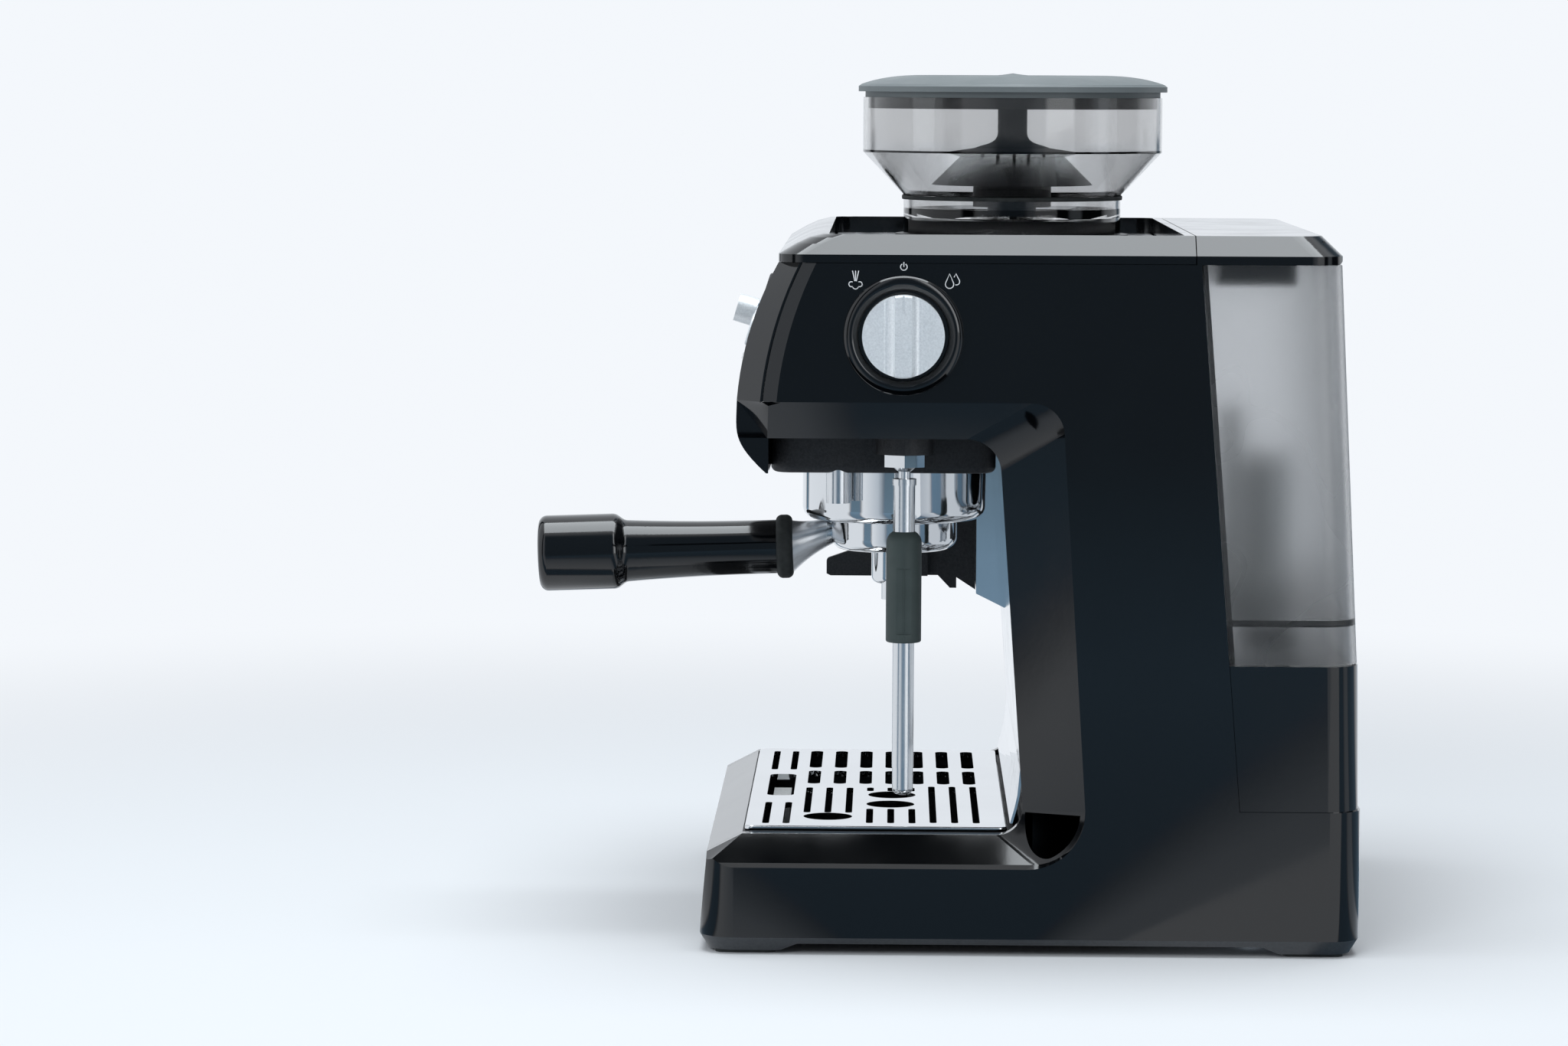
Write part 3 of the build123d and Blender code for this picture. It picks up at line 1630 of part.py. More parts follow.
# Filter basket: a thin flanged cup that hangs in the bowl, with a field of holes in its floor.
basket_radius = bowl_radius - bowl_wall - basket_gap
basket_floor_z = bowl_top_z - basket_depth
with BuildPart() as filter_basket:
    turned(
        [
            (0, basket_floor_z),
            (basket_radius, basket_floor_z),
            (basket_radius, bowl_top_z),
            (rim_radius - basket_flange, bowl_top_z),
            (rim_radius - basket_flange, bowl_top_z + basket_flange),
            (basket_radius - basket_wall, bowl_top_z + basket_flange),
            (basket_radius - basket_wall, basket_floor_z + basket_wall),
            (0, basket_floor_z + basket_wall),
        ],
        upright(group_x, group_y),
        spindle(group_x, group_y),
    )
    with BuildSketch(Plane.XY.offset(basket_floor_z - overrun)):
        with Locations((group_x, group_y)):
            for ring_share in basket_ring_shares:
                with PolarLocations(basket_radius * ring_share, screen_hole_count):
                    Circle(basket_hole_radius)
    extrude(amount=overrun + overrun, mode=Mode.SUBTRACT)
filter_basket.part.label = "filter_basket"
export_step(filter_basket.part, "parts/filter_basket.step")

# Portafilter spout: a rounded body that splits into two nozzles.
spout_body_z = bowl_bottom_z - spout_body_height
spout_middle_z = spout_body_z + spout_body_height / 2
nozzle_places = [(group_x + side * spout_spread, group_y) for side in (-1, 1)]
with BuildPart() as portafilter_spout:
    with BuildSketch(Plane.XY.offset(spout_body_z)):
        with Locations((group_x, group_y)):
            SlotCenterToCenter(spout_spread, spout_body_radius + spout_body_radius)
    extrude(amount=spout_body_height)
    fillet(edges().group_by(Axis.Z)[0], radius=spout_body_round)
    for x, y in nozzle_places:
        disc(x, y, spout_bottom_z, spout_middle_z, spout_nozzle_radius)
    for x, y in nozzle_places:
        disc(x, y, spout_bottom_z - overrun, spout_middle_z, spout_bore, mode=Mode.SUBTRACT)
    block(
        group_x - spout_spread,
        group_x + spout_spread,
        group_y - spout_bore,
        group_y + spout_bore,
        spout_middle_z - plate,
        spout_middle_z + plate,
        mode=Mode.SUBTRACT,
    )
    disc(group_x, group_y, spout_middle_z, bowl_bottom_z + overrun, spout_bore, mode=Mode.SUBTRACT)
portafilter_spout.part.label = "portafilter_spout"
export_step(portafilter_spout.part, "parts/portafilter_spout.step")

# Handle ring and handle, both bored for the stud.
stud_bore = stud_radius + shaft_gap
with BuildPart() as handle_ring:
    with BuildSketch(handle_plane):
        Circle(ring_radius)
    extrude(amount=ring_length)
    fillet(edges().filter_by(GeomType.CIRCLE), radius=ring_edge)
    with BuildSketch(handle_plane.offset(-overrun)):
        Circle(stud_bore)
    extrude(amount=ring_length + overrun + overrun, mode=Mode.SUBTRACT)
handle_ring.part.label = "handle_ring"
export_step(handle_ring.part, "parts/handle_ring.step")

step_start = handle_length - handle_end_length - handle_step
with BuildPart() as handle:
    with BuildSketch(handle_section):
        with BuildLine():
            Spline(
                (ring_length, handle_root_radius),
                (
                    (ring_length + step_start) / 2,
                    (handle_root_radius + handle_waist_radius) / 2 - handle_hollow,
                ),
                (step_start, handle_waist_radius),
            )
            Spline(
                (step_start, handle_waist_radius),
                (step_start + handle_step / 2, (handle_waist_radius + handle_end_radius) / 2),
                (step_start + handle_step, handle_end_radius),
                tangents=((1, 0), (1, 0)),
            )
            Line(
                (step_start + handle_step, handle_end_radius),
                (handle_length - handle_edge, handle_end_radius),
            )
            ThreePointArc(
                (handle_length - handle_edge, handle_end_radius),
                (
                    handle_length - handle_edge + handle_edge * sin(pi / 4),
                    handle_end_radius - handle_edge + handle_edge * cos(pi / 4),
                ),
                (handle_length, handle_end_radius - handle_edge),
            )
            Polyline(
                (handle_length, handle_end_radius - handle_edge),
                (handle_length, 0),
                (ring_length, 0),
                (ring_length, handle_root_radius),
            )
        make_face()
    revolve(axis=handle_axis)
    with BuildSketch(handle_plane):
        Circle(stud_bore)
    extrude(amount=stud_length + shaft_gap, mode=Mode.SUBTRACT)
handle.part.label = "handle"
export_step(handle.part, "parts/handle.step")

# Hot water spout: a polished tube that rises through the underplate to a flange on the deck.
with BuildPart() as hot_water_spout:
    disc(water_x, water_y, water_bottom_z, deck_top_z, water_radius)
    disc(water_x, water_y, deck_top_z, deck_top_z + deck_thickness, water_notch_radius)
    disc(
        water_x,
        water_y,
        water_bottom_z - overrun,
        deck_top_z + deck_thickness + overrun,
        water_bore,
        mode=Mode.SUBTRACT,
    )
hot_water_spout.part.label = "hot_water_spout"
export_step(hot_water_spout.part, "parts/hot_water_spout.step")

# Wand nut: a hexagon under the boss, bored for the ball.
with BuildPart() as wand_nut:
    with BuildSketch(Plane.XY.offset(nut_bottom_z)):
        with Locations((wand_x, wand_y)):
            RegularPolygon(nut_across_flats / 2, 6, major_radius=False)
    extrude(amount=boss_bottom_z - turn_gap - nut_bottom_z)
    with Locations((wand_x, wand_y, ball_z)):
        Sphere(ball_radius + turn_gap, mode=Mode.SUBTRACT)
wand_nut.part.label = "wand_nut"
export_step(wand_nut.part, "parts/wand_nut.step")

# Steam wand: a ball, a thin neck, a collar and the long tube.
with BuildPart() as steam_wand:
    with Locations((wand_x, wand_y, ball_z)):
        Sphere(ball_radius)
    disc(wand_x, wand_y, wand_collar_z - wand_collar_height, ball_z, stub_radius)
    disc(wand_x, wand_y, wand_collar_z - wand_collar_height, wand_collar_z, wand_collar_radius)
    disc(wand_x, wand_y, tip_top_z, wand_collar_z - wand_collar_height, tube_radius)
    disc(
        wand_x,
        wand_y,
        tip_top_z - overrun,
        wand_collar_z - wand_collar_height,
        tube_bore,
        mode=Mode.SUBTRACT,
    )
    disc(wand_x, wand_y, tip_top_z, ball_z + ball_radius + overrun, hose_bore, mode=Mode.SUBTRACT)
steam_wand.part.label = "steam_wand"
export_step(steam_wand.part, "parts/steam_wand.step")

# Wand grip: a rubber sleeve with a domed top and a shallow panel on its outer side.
with BuildPart() as wand_grip:
    disc(wand_x, wand_y, grip_bottom_z, grip_top_z, grip_radius)
    fillet(edges().group_by(Axis.Z)[-1], radius=grip_dome)
    fillet(edges().group_by(Axis.Z)[0], radius=edge_round)
    disc(wand_x, wand_y, grip_bottom_z - overrun, grip_top_z + overrun, tube_radius, mode=Mode.SUBTRACT)
    block(
        wand_x + grip_radius - grip_panel_depth,
        wand_x + grip_radius + overrun,
        wand_y - grip_panel_width / 2,
        wand_y + grip_panel_width / 2,
        grip_bottom_z + grip_panel_lift,
        grip_bottom_z + grip_panel_lift + grip_panel_height,
        mode=Mode.SUBTRACT,
    )
wand_grip.part.label = "wand_grip"
export_step(wand_grip.part, "parts/wand_grip.step")

# Steam tip: a rounded nozzle with four small holes, on a stub inside the tube.
with BuildPart() as steam_tip:
    disc(wand_x, wand_y, tip_bottom_z, tip_top_z, tip_radius)
    fillet(edges().group_by(Axis.Z)[0], radius=tip_round)
    disc(wand_x, wand_y, tip_top_z, tip_top_z + tip_radius, tube_bore)
    disc(
        wand_x,
        wand_y,
        tip_bottom_z + tip_round,
        tip_top_z + tip_radius + overrun,
        hose_bore,
        mode=Mode.SUBTRACT,
    )
    with BuildSketch(Plane.XY.offset(tip_bottom_z - overrun)):
        with Locations((wand_x, wand_y)):
            with PolarLocations(hose_bore / 2, tip_hole_count):
                Circle(tip_hole_radius)
    extrude(amount=overrun + tip_round + tip_round, mode=Mode.SUBTRACT)
steam_tip.part.label = "steam_tip"
export_step(steam_tip.part, "parts/steam_tip.step")

# Steam dial: a shaft, a round knob and the rib across it, hollowed at both sides of the rib.
dial_plane = Plane.YZ.offset(half_width + knob_gap)
dial_floor_x = half_width + knob_gap + knob_depth
dial_top_x = dial_floor_x + knob_rib_height
with BuildPart() as steam_dial:
    with BuildSketch(Plane.YZ.offset(half_width - dial_shaft_length)):
        with Locations((dial_y, dial_z)):
            Circle(dial_shaft_radius)
    extrude(amount=dial_shaft_length + knob_gap)
    with BuildSketch(dial_plane):
        with Locations((dial_y, dial_z)):
            Circle(knob_radius)
    extrude(amount=knob_depth + knob_rib_height)
    fillet(edges().group_by(Axis.X)[-1], radius=edge_round)
    for side in (-1, 1):
        with BuildSketch(Plane.XY.offset(dial_z - knob_radius - overrun)) as scoop:
            with BuildLine():
                rib_side = dial_y + side * knob_rib_width / 2
                scoop_end = rib_side + side * knob_groove_radius
                far_y = dial_y + side * (knob_radius + overrun)
                Line((dial_top_x + overrun, rib_side), (dial_top_x - edge_round, rib_side))
                ThreePointArc(
                    (dial_top_x - edge_round, rib_side),
                    (dial_floor_x + edge_round, rib_side + side * edge_round),
                    (dial_floor_x, scoop_end),
                )
                Polyline(
                    (dial_floor_x, scoop_end),
                    (dial_floor_x, far_y),
                    (dial_top_x + overrun, far_y),
                    (dial_top_x + overrun, rib_side),
                )
            make_face()
        extrude(scoop.sketch, amount=knob_radius + knob_radius + overrun + overrun, mode=Mode.SUBTRACT)
    block(
        dial_top_x - mark_depth,
        dial_top_x + overrun,
        dial_y - mark_depth,
        dial_y + mark_depth,
        dial_z + knob_radius - mark_length,
        dial_z + knob_radius + overrun,
        mode=Mode.SUBTRACT,
    )
steam_dial.part.label = "steam_dial"
export_step(steam_dial.part, "parts/steam_dial.step")

with BuildPart() as grind_dial:
    mirror(steam_dial.part, about=Plane.YZ, mode=Mode.ADD)
grind_dial.part.label = "grind_dial"
export_step(grind_dial.part, "parts/grind_dial.step")

# Dial bezels: a raised ring round each dial.
with BuildPart() as dial_bezels:
    with BuildSketch(Plane.YZ.offset(half_width)):
        with Locations((dial_y, dial_z)):
            Circle(bezel_radius)
            Circle(bezel_bore, mode=Mode.SUBTRACT)
    extrude(amount=bezel_height)
    fillet(edges().group_by(Axis.X)[-1], radius=bezel_round)
    mirror(about=Plane.YZ)
dial_bezels.part.label = "dial_bezels"
export_step(dial_bezels.part, "parts/dial_bezels.step")

# Five round push buttons on the fascia.
for button_name, button_place in zip(button_names, button_places):
    with BuildPart() as button:
        with BuildSketch(control_plane.offset(button_proud - button_depth)):
            with Locations(button_place):
                Circle(button_radius)
        extrude(amount=button_depth)
        fillet(faces().sort_by(Axis((0, 0, 0), control_plane.z_dir))[-1].edges(), radius=button_round)
    button.part.label = button_name
    export_step(button.part, f"parts/{button_name}.step")

# Grind amount knob, on a shaft that reaches the control board.
with BuildPart() as grind_amount_knob:
    with BuildSketch(control_plane.offset(turn_gap - board_depth)):
        with Locations(amount_place):
            Circle(amount_shaft_radius)
    extrude(amount=board_depth)
    with BuildSketch(control_plane.offset(turn_gap)):
        with Locations(amount_place):
            Circle(amount_radius)
            with Locations((0, amount_radius)):
                Rectangle(mark_depth + mark_depth, mark_depth + mark_depth, mode=Mode.SUBTRACT)
    extrude(amount=amount_length)
grind_amount_knob.part.label = "grind_amount_knob"
export_step(grind_amount_knob.part, "parts/grind_amount_knob.step")

# Pressure gauge: a cup set in the fascia, its needle and its glass.
face_depth = gauge_proud - gauge_recess
with BuildPart() as gauge_body:
    with BuildSketch(control_plane.offset(-board_depth)):
        Circle(gauge_radius)
    extrude(amount=board_depth + gauge_proud)
    fillet(faces().sort_by(Axis((0, 0, 0), control_plane.z_dir))[-1].edges(), radius=edge_round)
    with BuildSketch(control_plane.offset(face_depth)):
        Circle(gauge_radius - gauge_lip)
    extrude(amount=gauge_recess, mode=Mode.SUBTRACT)
    with BuildSketch(control_plane.offset(face_depth - needle_axle_length)):
        Circle(needle_axle_radius + shaft_gap)
    extrude(amount=needle_axle_length, mode=Mode.SUBTRACT)
gauge_body.part.label = "gauge_body"
export_step(gauge_body.part, "parts/gauge_body.step")

with BuildPart() as gauge_needle:
    with BuildSketch(control_plane.offset(face_depth - needle_axle_length + shaft_gap)):
        Circle(needle_axle_radius)
    extrude(amount=needle_axle_length + needle_thickness)
    with BuildSketch(control_plane.offset(face_depth + needle_thickness)):
        Circle(needle_hub_radius)
        with PolarLocations((needle_length - needle_tail) / 2, 1, start_angle=needle_rest_angle):
            Rectangle(needle_length + needle_tail, needle_width)
    extrude(amount=needle_thickness)
gauge_needle.part.label = "gauge_needle"
export_step(gauge_needle.part, "parts/gauge_needle.step")

with BuildPart() as gauge_glass:
    with BuildSketch(control_plane.offset(gauge_proud - glass_sink - glass_thickness)):
        Circle(gauge_radius - gauge_lip)
    extrude(amount=glass_thickness)
gauge_glass.part.label = "gauge_glass"
export_step(gauge_glass.part, "parts/gauge_glass.step")

# Control board on the posts behind the fascia.
with BuildPart() as control_board:
    with BuildSketch(control_plane.offset(-board_depth)):
        Rectangle(board_half + board_half, board_height)
    extrude(amount=-board_thickness)
control_board.part.label = "control_board"
export_step(control_board.part, "parts/control_board.step")

# Hopper bowl: a skirt that drops in the ring, a cone, a funnel and the hub for the stem.
funnel_top_z = funnel_low_z + funnel_fall
hopper_inner = hopper_radius - hopper_wall
with BuildPart() as hopper_bowl:
    turned(
        [
            (neck_skirt_radius, hopper_seat_z),
            (neck_skirt_radius, cone_low_z),
            (hopper_radius, cone_high_z),
            (hopper_radius, hopper_rim_z),
            (hopper_inner, hopper_rim_z),
            (hopper_inner, cone_high_z + edge_round),
            (neck_skirt_radius - hopper_wall, cone_low_z + edge_round),
            (neck_skirt_radius - hopper_wall, funnel_top_z + hopper_wall),
            (neck_skirt_radius - funnel_step, funnel_top_z),
            (funnel_throat_radius, funnel_low_z),
            (funnel_throat_radius, hub_bottom_z),
            (funnel_throat_radius + hopper_wall, hub_bottom_z),
            (funnel_throat_radius + hopper_wall, funnel_low_z - hopper_wall),
            (neck_skirt_radius - hopper_wall, funnel_top_z - hopper_wall),
            (neck_skirt_radius - hopper_wall, hopper_seat_z),
        ],
        upright(grinder_x, grinder_y),
        spindle(grinder_x, grinder_y),
    )
    disc(grinder_x, grinder_y, hub_bottom_z, hub_top_z, hub_radius)
    with BuildSketch(Plane.XY.offset(hub_bottom_z)):
        with Locations((grinder_x, grinder_y)):
            with PolarLocations((hub_radius + funnel_throat_radius) / 2, spoke_count):
                Rectangle(funnel_throat_radius - hub_radius + hopper_wall, spoke_width)
    extrude(amount=funnel_low_z - hub_bottom_z)
    disc(
        grinder_x,
        grinder_y,
        hub_bottom_z - overrun,
        hub_top_z + overrun,
        pivot_radius + shaft_gap,
        mode=Mode.SUBTRACT,
    )
hopper_bowl.part.label = "hopper_bowl"
export_step(hopper_bowl.part, "parts/hopper_bowl.step")

# Hopper lid: a low dome with a step over the rim and a skirt inside it.
skirt_outer = hopper_inner - turn_gap
with BuildPart() as hopper_lid:
    with BuildSketch(upright(grinder_x, grinder_y)):
        with BuildLine():
            Spline(
                (0, lid_top_z),
                (lid_crown_share * lid_radius, lid_top_z - lid_crown_drop),
                (lid_brow_share * lid_radius, lid_top_z - lid_brow_drop),
                (lid_radius - lid_round, lid_shoulder_z - lid_round / 4),
            )
            Polyline(
                (lid_radius - lid_round, lid_shoulder_z - lid_round / 4),
                (lid_radius, lid_shoulder_z - lid_round),
                (lid_radius, lid_edge_z),
                (lid_step_radius, lid_edge_z),
                (lid_step_radius, hopper_rim_z),
                (skirt_outer, hopper_rim_z),
                (skirt_outer, hopper_rim_z - lid_skirt_length),
                (skirt_outer - lid_skirt_wall, hopper_rim_z - lid_skirt_length),
                (skirt_outer - lid_skirt_wall, lid_shoulder_z - lid_wall),
                (0, lid_top_z - lid_wall),
                (0, lid_top_z),
            )
        make_face()
    revolve(axis=spindle(grinder_x, grinder_y))
hopper_lid.part.label = "hopper_lid"
export_step(hopper_lid.part, "parts/hopper_lid.step")

# Hopper stem: the pivot in the hub, the post, the bean guard and the flared stem that locks the hopper.
flare_top_z = guard_disc_z + stem_flare_height
with BuildPart() as hopper_stem:
    with BuildSketch(upright(grinder_x, grinder_y)):
        with BuildLine():
            Polyline(
                (stem_radius, flare_top_z),
                (stem_radius, stem_top_z - lid_round),
                (stem_radius - lid_round, stem_top_z),
                (0, stem_top_z),
                (0, hub_bottom_z),
                (pivot_radius, hub_bottom_z),
                (pivot_radius, hub_top_z),
                (hub_radius, hub_top_z),
                (hub_radius, post_bottom_z),
                (post_radius, post_bottom_z),
                (post_radius, guard_disc_z - guard_disc_height - guard_wall),
                (guard_top_radius - guard_wall, guard_disc_z - guard_disc_height - guard_wall),
                (guard_foot_radius - guard_wall, guard_foot_z),
                (guard_foot_radius, guard_foot_z),
                (guard_top_radius, guard_disc_z - guard_disc_height),
                (guard_disc_radius, guard_disc_z - guard_disc_slope - guard_disc_edge),
                (guard_disc_radius, guard_disc_z - guard_disc_slope),
                (stem_flare_radius, guard_disc_z),
            )
            Spline(
                (stem_flare_radius, guard_disc_z),
                (stem_radius, flare_top_z),
                tangents=((-1, stem_flare_lean), (0, 1)),
            )
        make_face()
    revolve(axis=spindle(grinder_x, grinder_y))
hopper_stem.part.label = "hopper_stem"
export_step(hopper_stem.part, "parts/hopper_stem.step")

# Water tank: thin walls that lean with the seam, a raised floor and the valve under it.
tank_front_gap = turn_gap + turn_gap


def tank_front_y(z):
    """The front face of the tank, just behind the leaning seam."""
    return tank_seam_y(z) + tank_front_gap


def tank_rear_y(z):
    """The rear face of the tank, which leans the same way."""
    share = (z - tank_bottom_z) / (tank_top_z - tank_bottom_z)
    return tank_rear_low_y + share * (tank_top_rear_y - tank_rear_low_y)


def tank_slab(low, high, inset):
    """A leaning block of the tank's outline between two heights, drawn in by an inset."""
    with BuildPart(mode=Mode.PRIVATE) as slab:
        prism(
            [
                (tank_front_y(low) + inset, low),
                (tank_rear_y(low) - inset, low),
                (tank_rear_y(high) - inset, high),
                (tank_front_y(high) + inset, high),
            ],
            inset - tank_half,
            tank_half - inset,
        )
        side_edges = edges().filter_by(Plane.XY, reverse=True)
        fillet(side_edges.group_by(Axis.Y)[-1], radius=base_rear_round - inset)
    return slab.part


with BuildPart() as water_tank:
    add(tank_slab(tank_bottom_z, tank_top_z, 0))
    add(tank_slab(tank_floor_z + tank_floor, tank_top_z + overrun, tank_wall), mode=Mode.SUBTRACT)
    add(tank_slab(tank_bottom_z - overrun, tank_floor_z, tank_wall), mode=Mode.SUBTRACT)
    disc(0, valve_y, rear_top_z, tank_floor_z, tank_valve_radius)
    for side in (-1, 1):
        ear_low_x = side * hinge_ear_x - hinge_ear_width / 2
        with BuildSketch(Plane.YZ.offset(ear_low_x)):
            with Locations((hinge_y, hinge_z)):
                Circle(tank_hinge_round)
            with BuildLine():
                Polyline(
                    (hinge_y - tank_hinge_round, hinge_z),
                    (hinge_y + tank_hinge_round, hinge_z),
                    (hinge_y + tank_hinge_round, tank_top_z - ear_root),
                    (hinge_y - tank_hinge_round, tank_top_z - ear_root),
                    close=True,
                )
            make_face()
        extrude(amount=hinge_ear_width)
        with BuildSketch(Plane.YZ.offset(ear_low_x - overrun)):
            with Locations((hinge_y, hinge_z)):
                Circle(hinge_pin_radius + shaft_gap)
        extrude(amount=hinge_ear_width + overrun + overrun, mode=Mode.SUBTRACT)
water_tank.part.label = "water_tank"
export_step(water_tank.part, "parts/water_tank.step")

# Tank lid: a bevelled cover with a raised ring that drops in the tank, pinned to two ears.
lid_half = half_width - lid_tank_margin
lid_front_y = cover_rear_y + lid_tank_margin
with BuildPart() as tank_lid:
    with BuildSketch(Plane.XY.offset(panel_top_z)):
        with Locations((0, (lid_front_y + tank_top_rear_y) / 2)):
            Rectangle(lid_half + lid_half, tank_top_rear_y - lid_front_y)
        fillet(vertices().group_by(Axis.Y)[-1], radius=base_rear_round)
    extrude(amount=cover_band_z - panel_top_z)
    with BuildSketch(Plane.XY.offset(cover_band_z)):
        with Locations((0, (lid_front_y + tank_top_rear_y) / 2)):
            Rectangle(lid_half + lid_half, tank_top_rear_y - lid_front_y)
        fillet(vertices().group_by(Axis.Y)[-1], radius=base_rear_round)
    with BuildSketch(Plane.XY.offset(body_top_z)):
        with Locations((0, (lid_front_y + tank_top_rear_y - cover_bevel_inset) / 2)):
            Rectangle(
                lid_half + lid_half - cover_bevel_inset - cover_bevel_inset,
                tank_top_rear_y - cover_bevel_inset - lid_front_y,
            )
        fillet(vertices().group_by(Axis.Y)[-1], radius=base_rear_round)
    loft(ruled=True)
    with BuildSketch(Plane.YZ.offset(-half_width)):
        with BuildLine():
            Polyline(
                (lid_front_y - overrun, panel_top_z),
                (tank_top_rear_y, panel_top_z),
                (tank_top_rear_y, body_top_z + overrun),
                (lid_front_y - overrun, body_top_z + overrun),
                close=True,
            )
        make_face()
        fillet(vertices().sort_by_distance((tank_top_rear_y, panel_top_z))[0], radius=tank_hinge_round)
    extrude(amount=body_width, mode=Mode.INTERSECT)
    block(
        lid_hollow_inset - lid_half,
        lid_half - lid_hollow_inset,
        lid_front_y + lid_wall,
        hinge_y - tank_hinge_round - lid_wall,
        panel_top_z - overrun,
        body_top_z - lid_wall,
        mode=Mode.SUBTRACT,
    )
    block(
        -lid_plug_half,
        lid_plug_half,
        plug_front_y,
        plug_rear_y,
        panel_top_z - lid_plug_drop,
        body_top_z - lid_wall,
    )
    block(
        lid_wall - lid_plug_half,
        lid_plug_half - lid_wall,
        plug_front_y + lid_wall,
        plug_rear_y - lid_wall,
        panel_top_z - lid_plug_drop - overrun,
        body_top_z - lid_wall,
        mode=Mode.SUBTRACT,
    )
    for side in (-1, 1):
        slot_half = hinge_ear_width / 2 + turn_gap
        block(
            side * hinge_ear_x - slot_half,
            side * hinge_ear_x + slot_half,
            hinge_y - hinge_slot,
            tank_top_rear_y + overrun,
            panel_top_z - overrun,
            hinge_z + tank_hinge_round + edge_round,
            mode=Mode.SUBTRACT,
        )
        with BuildSketch(Plane.YZ.offset(side * hinge_ear_x - slot_half - overrun)):
            with Locations((hinge_y, hinge_z)):
                Circle(hinge_pin_radius)
        extrude(amount=slot_half + slot_half + overrun + overrun)
tank_lid.part.label = "tank_lid"
export_step(tank_lid.part, "parts/tank_lid.step")

# Tank filter: a cartridge and a stalk on a bar that lies on the tank's floor.
with BuildPart() as tank_filter:
    block(
        -filter_radius,
        filter_radius,
        stalk_y - filter_stalk_radius,
        valve_y + filter_radius,
        tank_floor_z + tank_floor,
        tank_floor_z + tank_floor + filter_base_height,
    )
    disc(0, valve_y, tank_floor_z + tank_floor, filter_top_z, filter_radius)
    disc(0, stalk_y, tank_floor_z + tank_floor, filter_stalk_top_z, filter_stalk_radius)
tank_filter.part.label = "tank_filter"
export_step(tank_filter.part, "parts/tank_filter.step")

# Drip tray: a tub with a ledge for the grate, and two guides for the float.
tray_bottom_z = bay_floor_z + tray_floor_gap
tray_floor_z = tray_bottom_z + tray_wall
tray_top_z = tray_bottom_z + tray_height
tray_half = bay_half - tray_gap - edge_round
tray_rear_y = base_front + tray_rear_setback
float_y = base_front + float_setback
with BuildPart() as drip_tray:
    block(-tray_half, tray_half, rim_front_y, tray_rear_y, tray_bottom_z, tray_top_z, corner=tray_corner)
    block(
        tray_wall - tray_half,
        tray_half - tray_wall,
        rim_front_y + tray_wall,
        tray_rear_y - tray_wall,
        tray_floor_z,
        tray_top_z - tray_ledge_height,
        corner=tray_corner - tray_wall,
        mode=Mode.SUBTRACT,
    )
    block(
        tray_ledge - tray_half,
        tray_half - tray_ledge,
        rim_front_y + tray_ledge,
        tray_rear_y - tray_ledge,
        tray_floor_z,
        tray_top_z + overrun,
        mode=Mode.SUBTRACT,
    )
    guide_reach = float_length / 2 + guide_gap + guide_wall
    for side in (-1, 1):
        block(
            float_x + side * guide_reach - guide_wall * 2,
            float_x + side * guide_reach + guide_wall * 2,
            float_y - float_width / 2 - guide_gap - guide_wall,
            float_y + float_width / 2 + guide_gap + guide_wall,
            tray_floor_z,
            tray_floor_z + guide_height,
        )
    block(
        float_x - float_length / 2 - guide_gap,
        float_x + float_length / 2 + guide_gap,
        float_y - float_width / 2 - guide_gap,
        float_y + float_width / 2 + guide_gap,
        tray_floor_z,
        tray_floor_z + guide_height + overrun,
        mode=Mode.SUBTRACT,
    )
drip_tray.part.label = "drip_tray"
export_step(drip_tray.part, "parts/drip_tray.step")

# Tray front: the glossy face that closes the bay and carries the bevel across.
with BuildPart() as tray_front:
    add(base_form.part)
    add(rim_form.part, mode=Mode.INTERSECT)
    block(
        seam_gap - bay_half,
        bay_half - seam_gap,
        base_front,
        rim_front_y,
        tray_bottom_z,
        base_top_z,
        mode=Mode.INTERSECT,
    )
    block(
        tray_front_wall + seam_gap - bay_half,
        bay_half - seam_gap - tray_front_wall,
        base_front + base_lean + tray_front_wall,
        rim_front_y - tray_front_wall,
        tray_bottom_z - overrun,
        rim_front_z - tray_front_wall,
        mode=Mode.SUBTRACT,
    )
tray_front.part.label = "tray_front"
export_step(tray_front.part, "parts/tray_front.step")

# Drip grate: a steel plate with its field of slots and round holes.
grate_front_y = base_front + grate_front_setback
grate_rear_y = base_front + grate_rear_setback
with BuildPart() as drip_grate:
    block(
        -grate_half,
        grate_half,
        grate_front_y,
        grate_rear_y,
        tray_top_z,
        grate_top_z,
        corner=grate_corner,
    )
    fillet(edges().group_by(Axis.Z)[-1], radius=edge_round)
    with BuildSketch(Plane.XY.offset(tray_top_z - overrun)):
        for low_x, high_x, first_setback, count, pitch, width in grate_slots:
            for row in range(count):
                with Locations(((low_x + high_x) / 2, base_front + first_setback + row * pitch)):
                    SlotOverall(high_x - low_x, width)
        with Locations((float_x, float_y)):
            RectangleRounded(float_hole_length, float_hole_width, grate_corner)
        for hole_x, hole_setback in grate_holes:
            with Locations((hole_x, base_front + hole_setback)):
                Circle(finger_hole_radius)
    extrude(amount=grate_top_z - tray_top_z + overrun + overrun, mode=Mode.SUBTRACT)
drip_grate.part.label = "drip_grate"
export_step(drip_grate.part, "parts/drip_grate.step")

# Tray float: a hollow block that rises through the grate when the tray is full.
with BuildPart() as tray_float:
    block(
        float_x - float_length / 2,
        float_x + float_length / 2,
        float_y - float_width / 2,
        float_y + float_width / 2,
        tray_floor_z,
        tray_floor_z + float_height,
    )
    block(
        float_x - float_length / 2 + float_wall,
        float_x + float_length / 2 - float_wall,
        float_y - float_width / 2 + float_wall,
        float_y + float_width / 2 - float_wall,
        tray_floor_z - overrun,
        tray_floor_z + float_height - float_wall,
        mode=Mode.SUBTRACT,
    )
tray_float.part.label = "tray_float"
export_step(tray_float.part, "parts/tray_float.step")

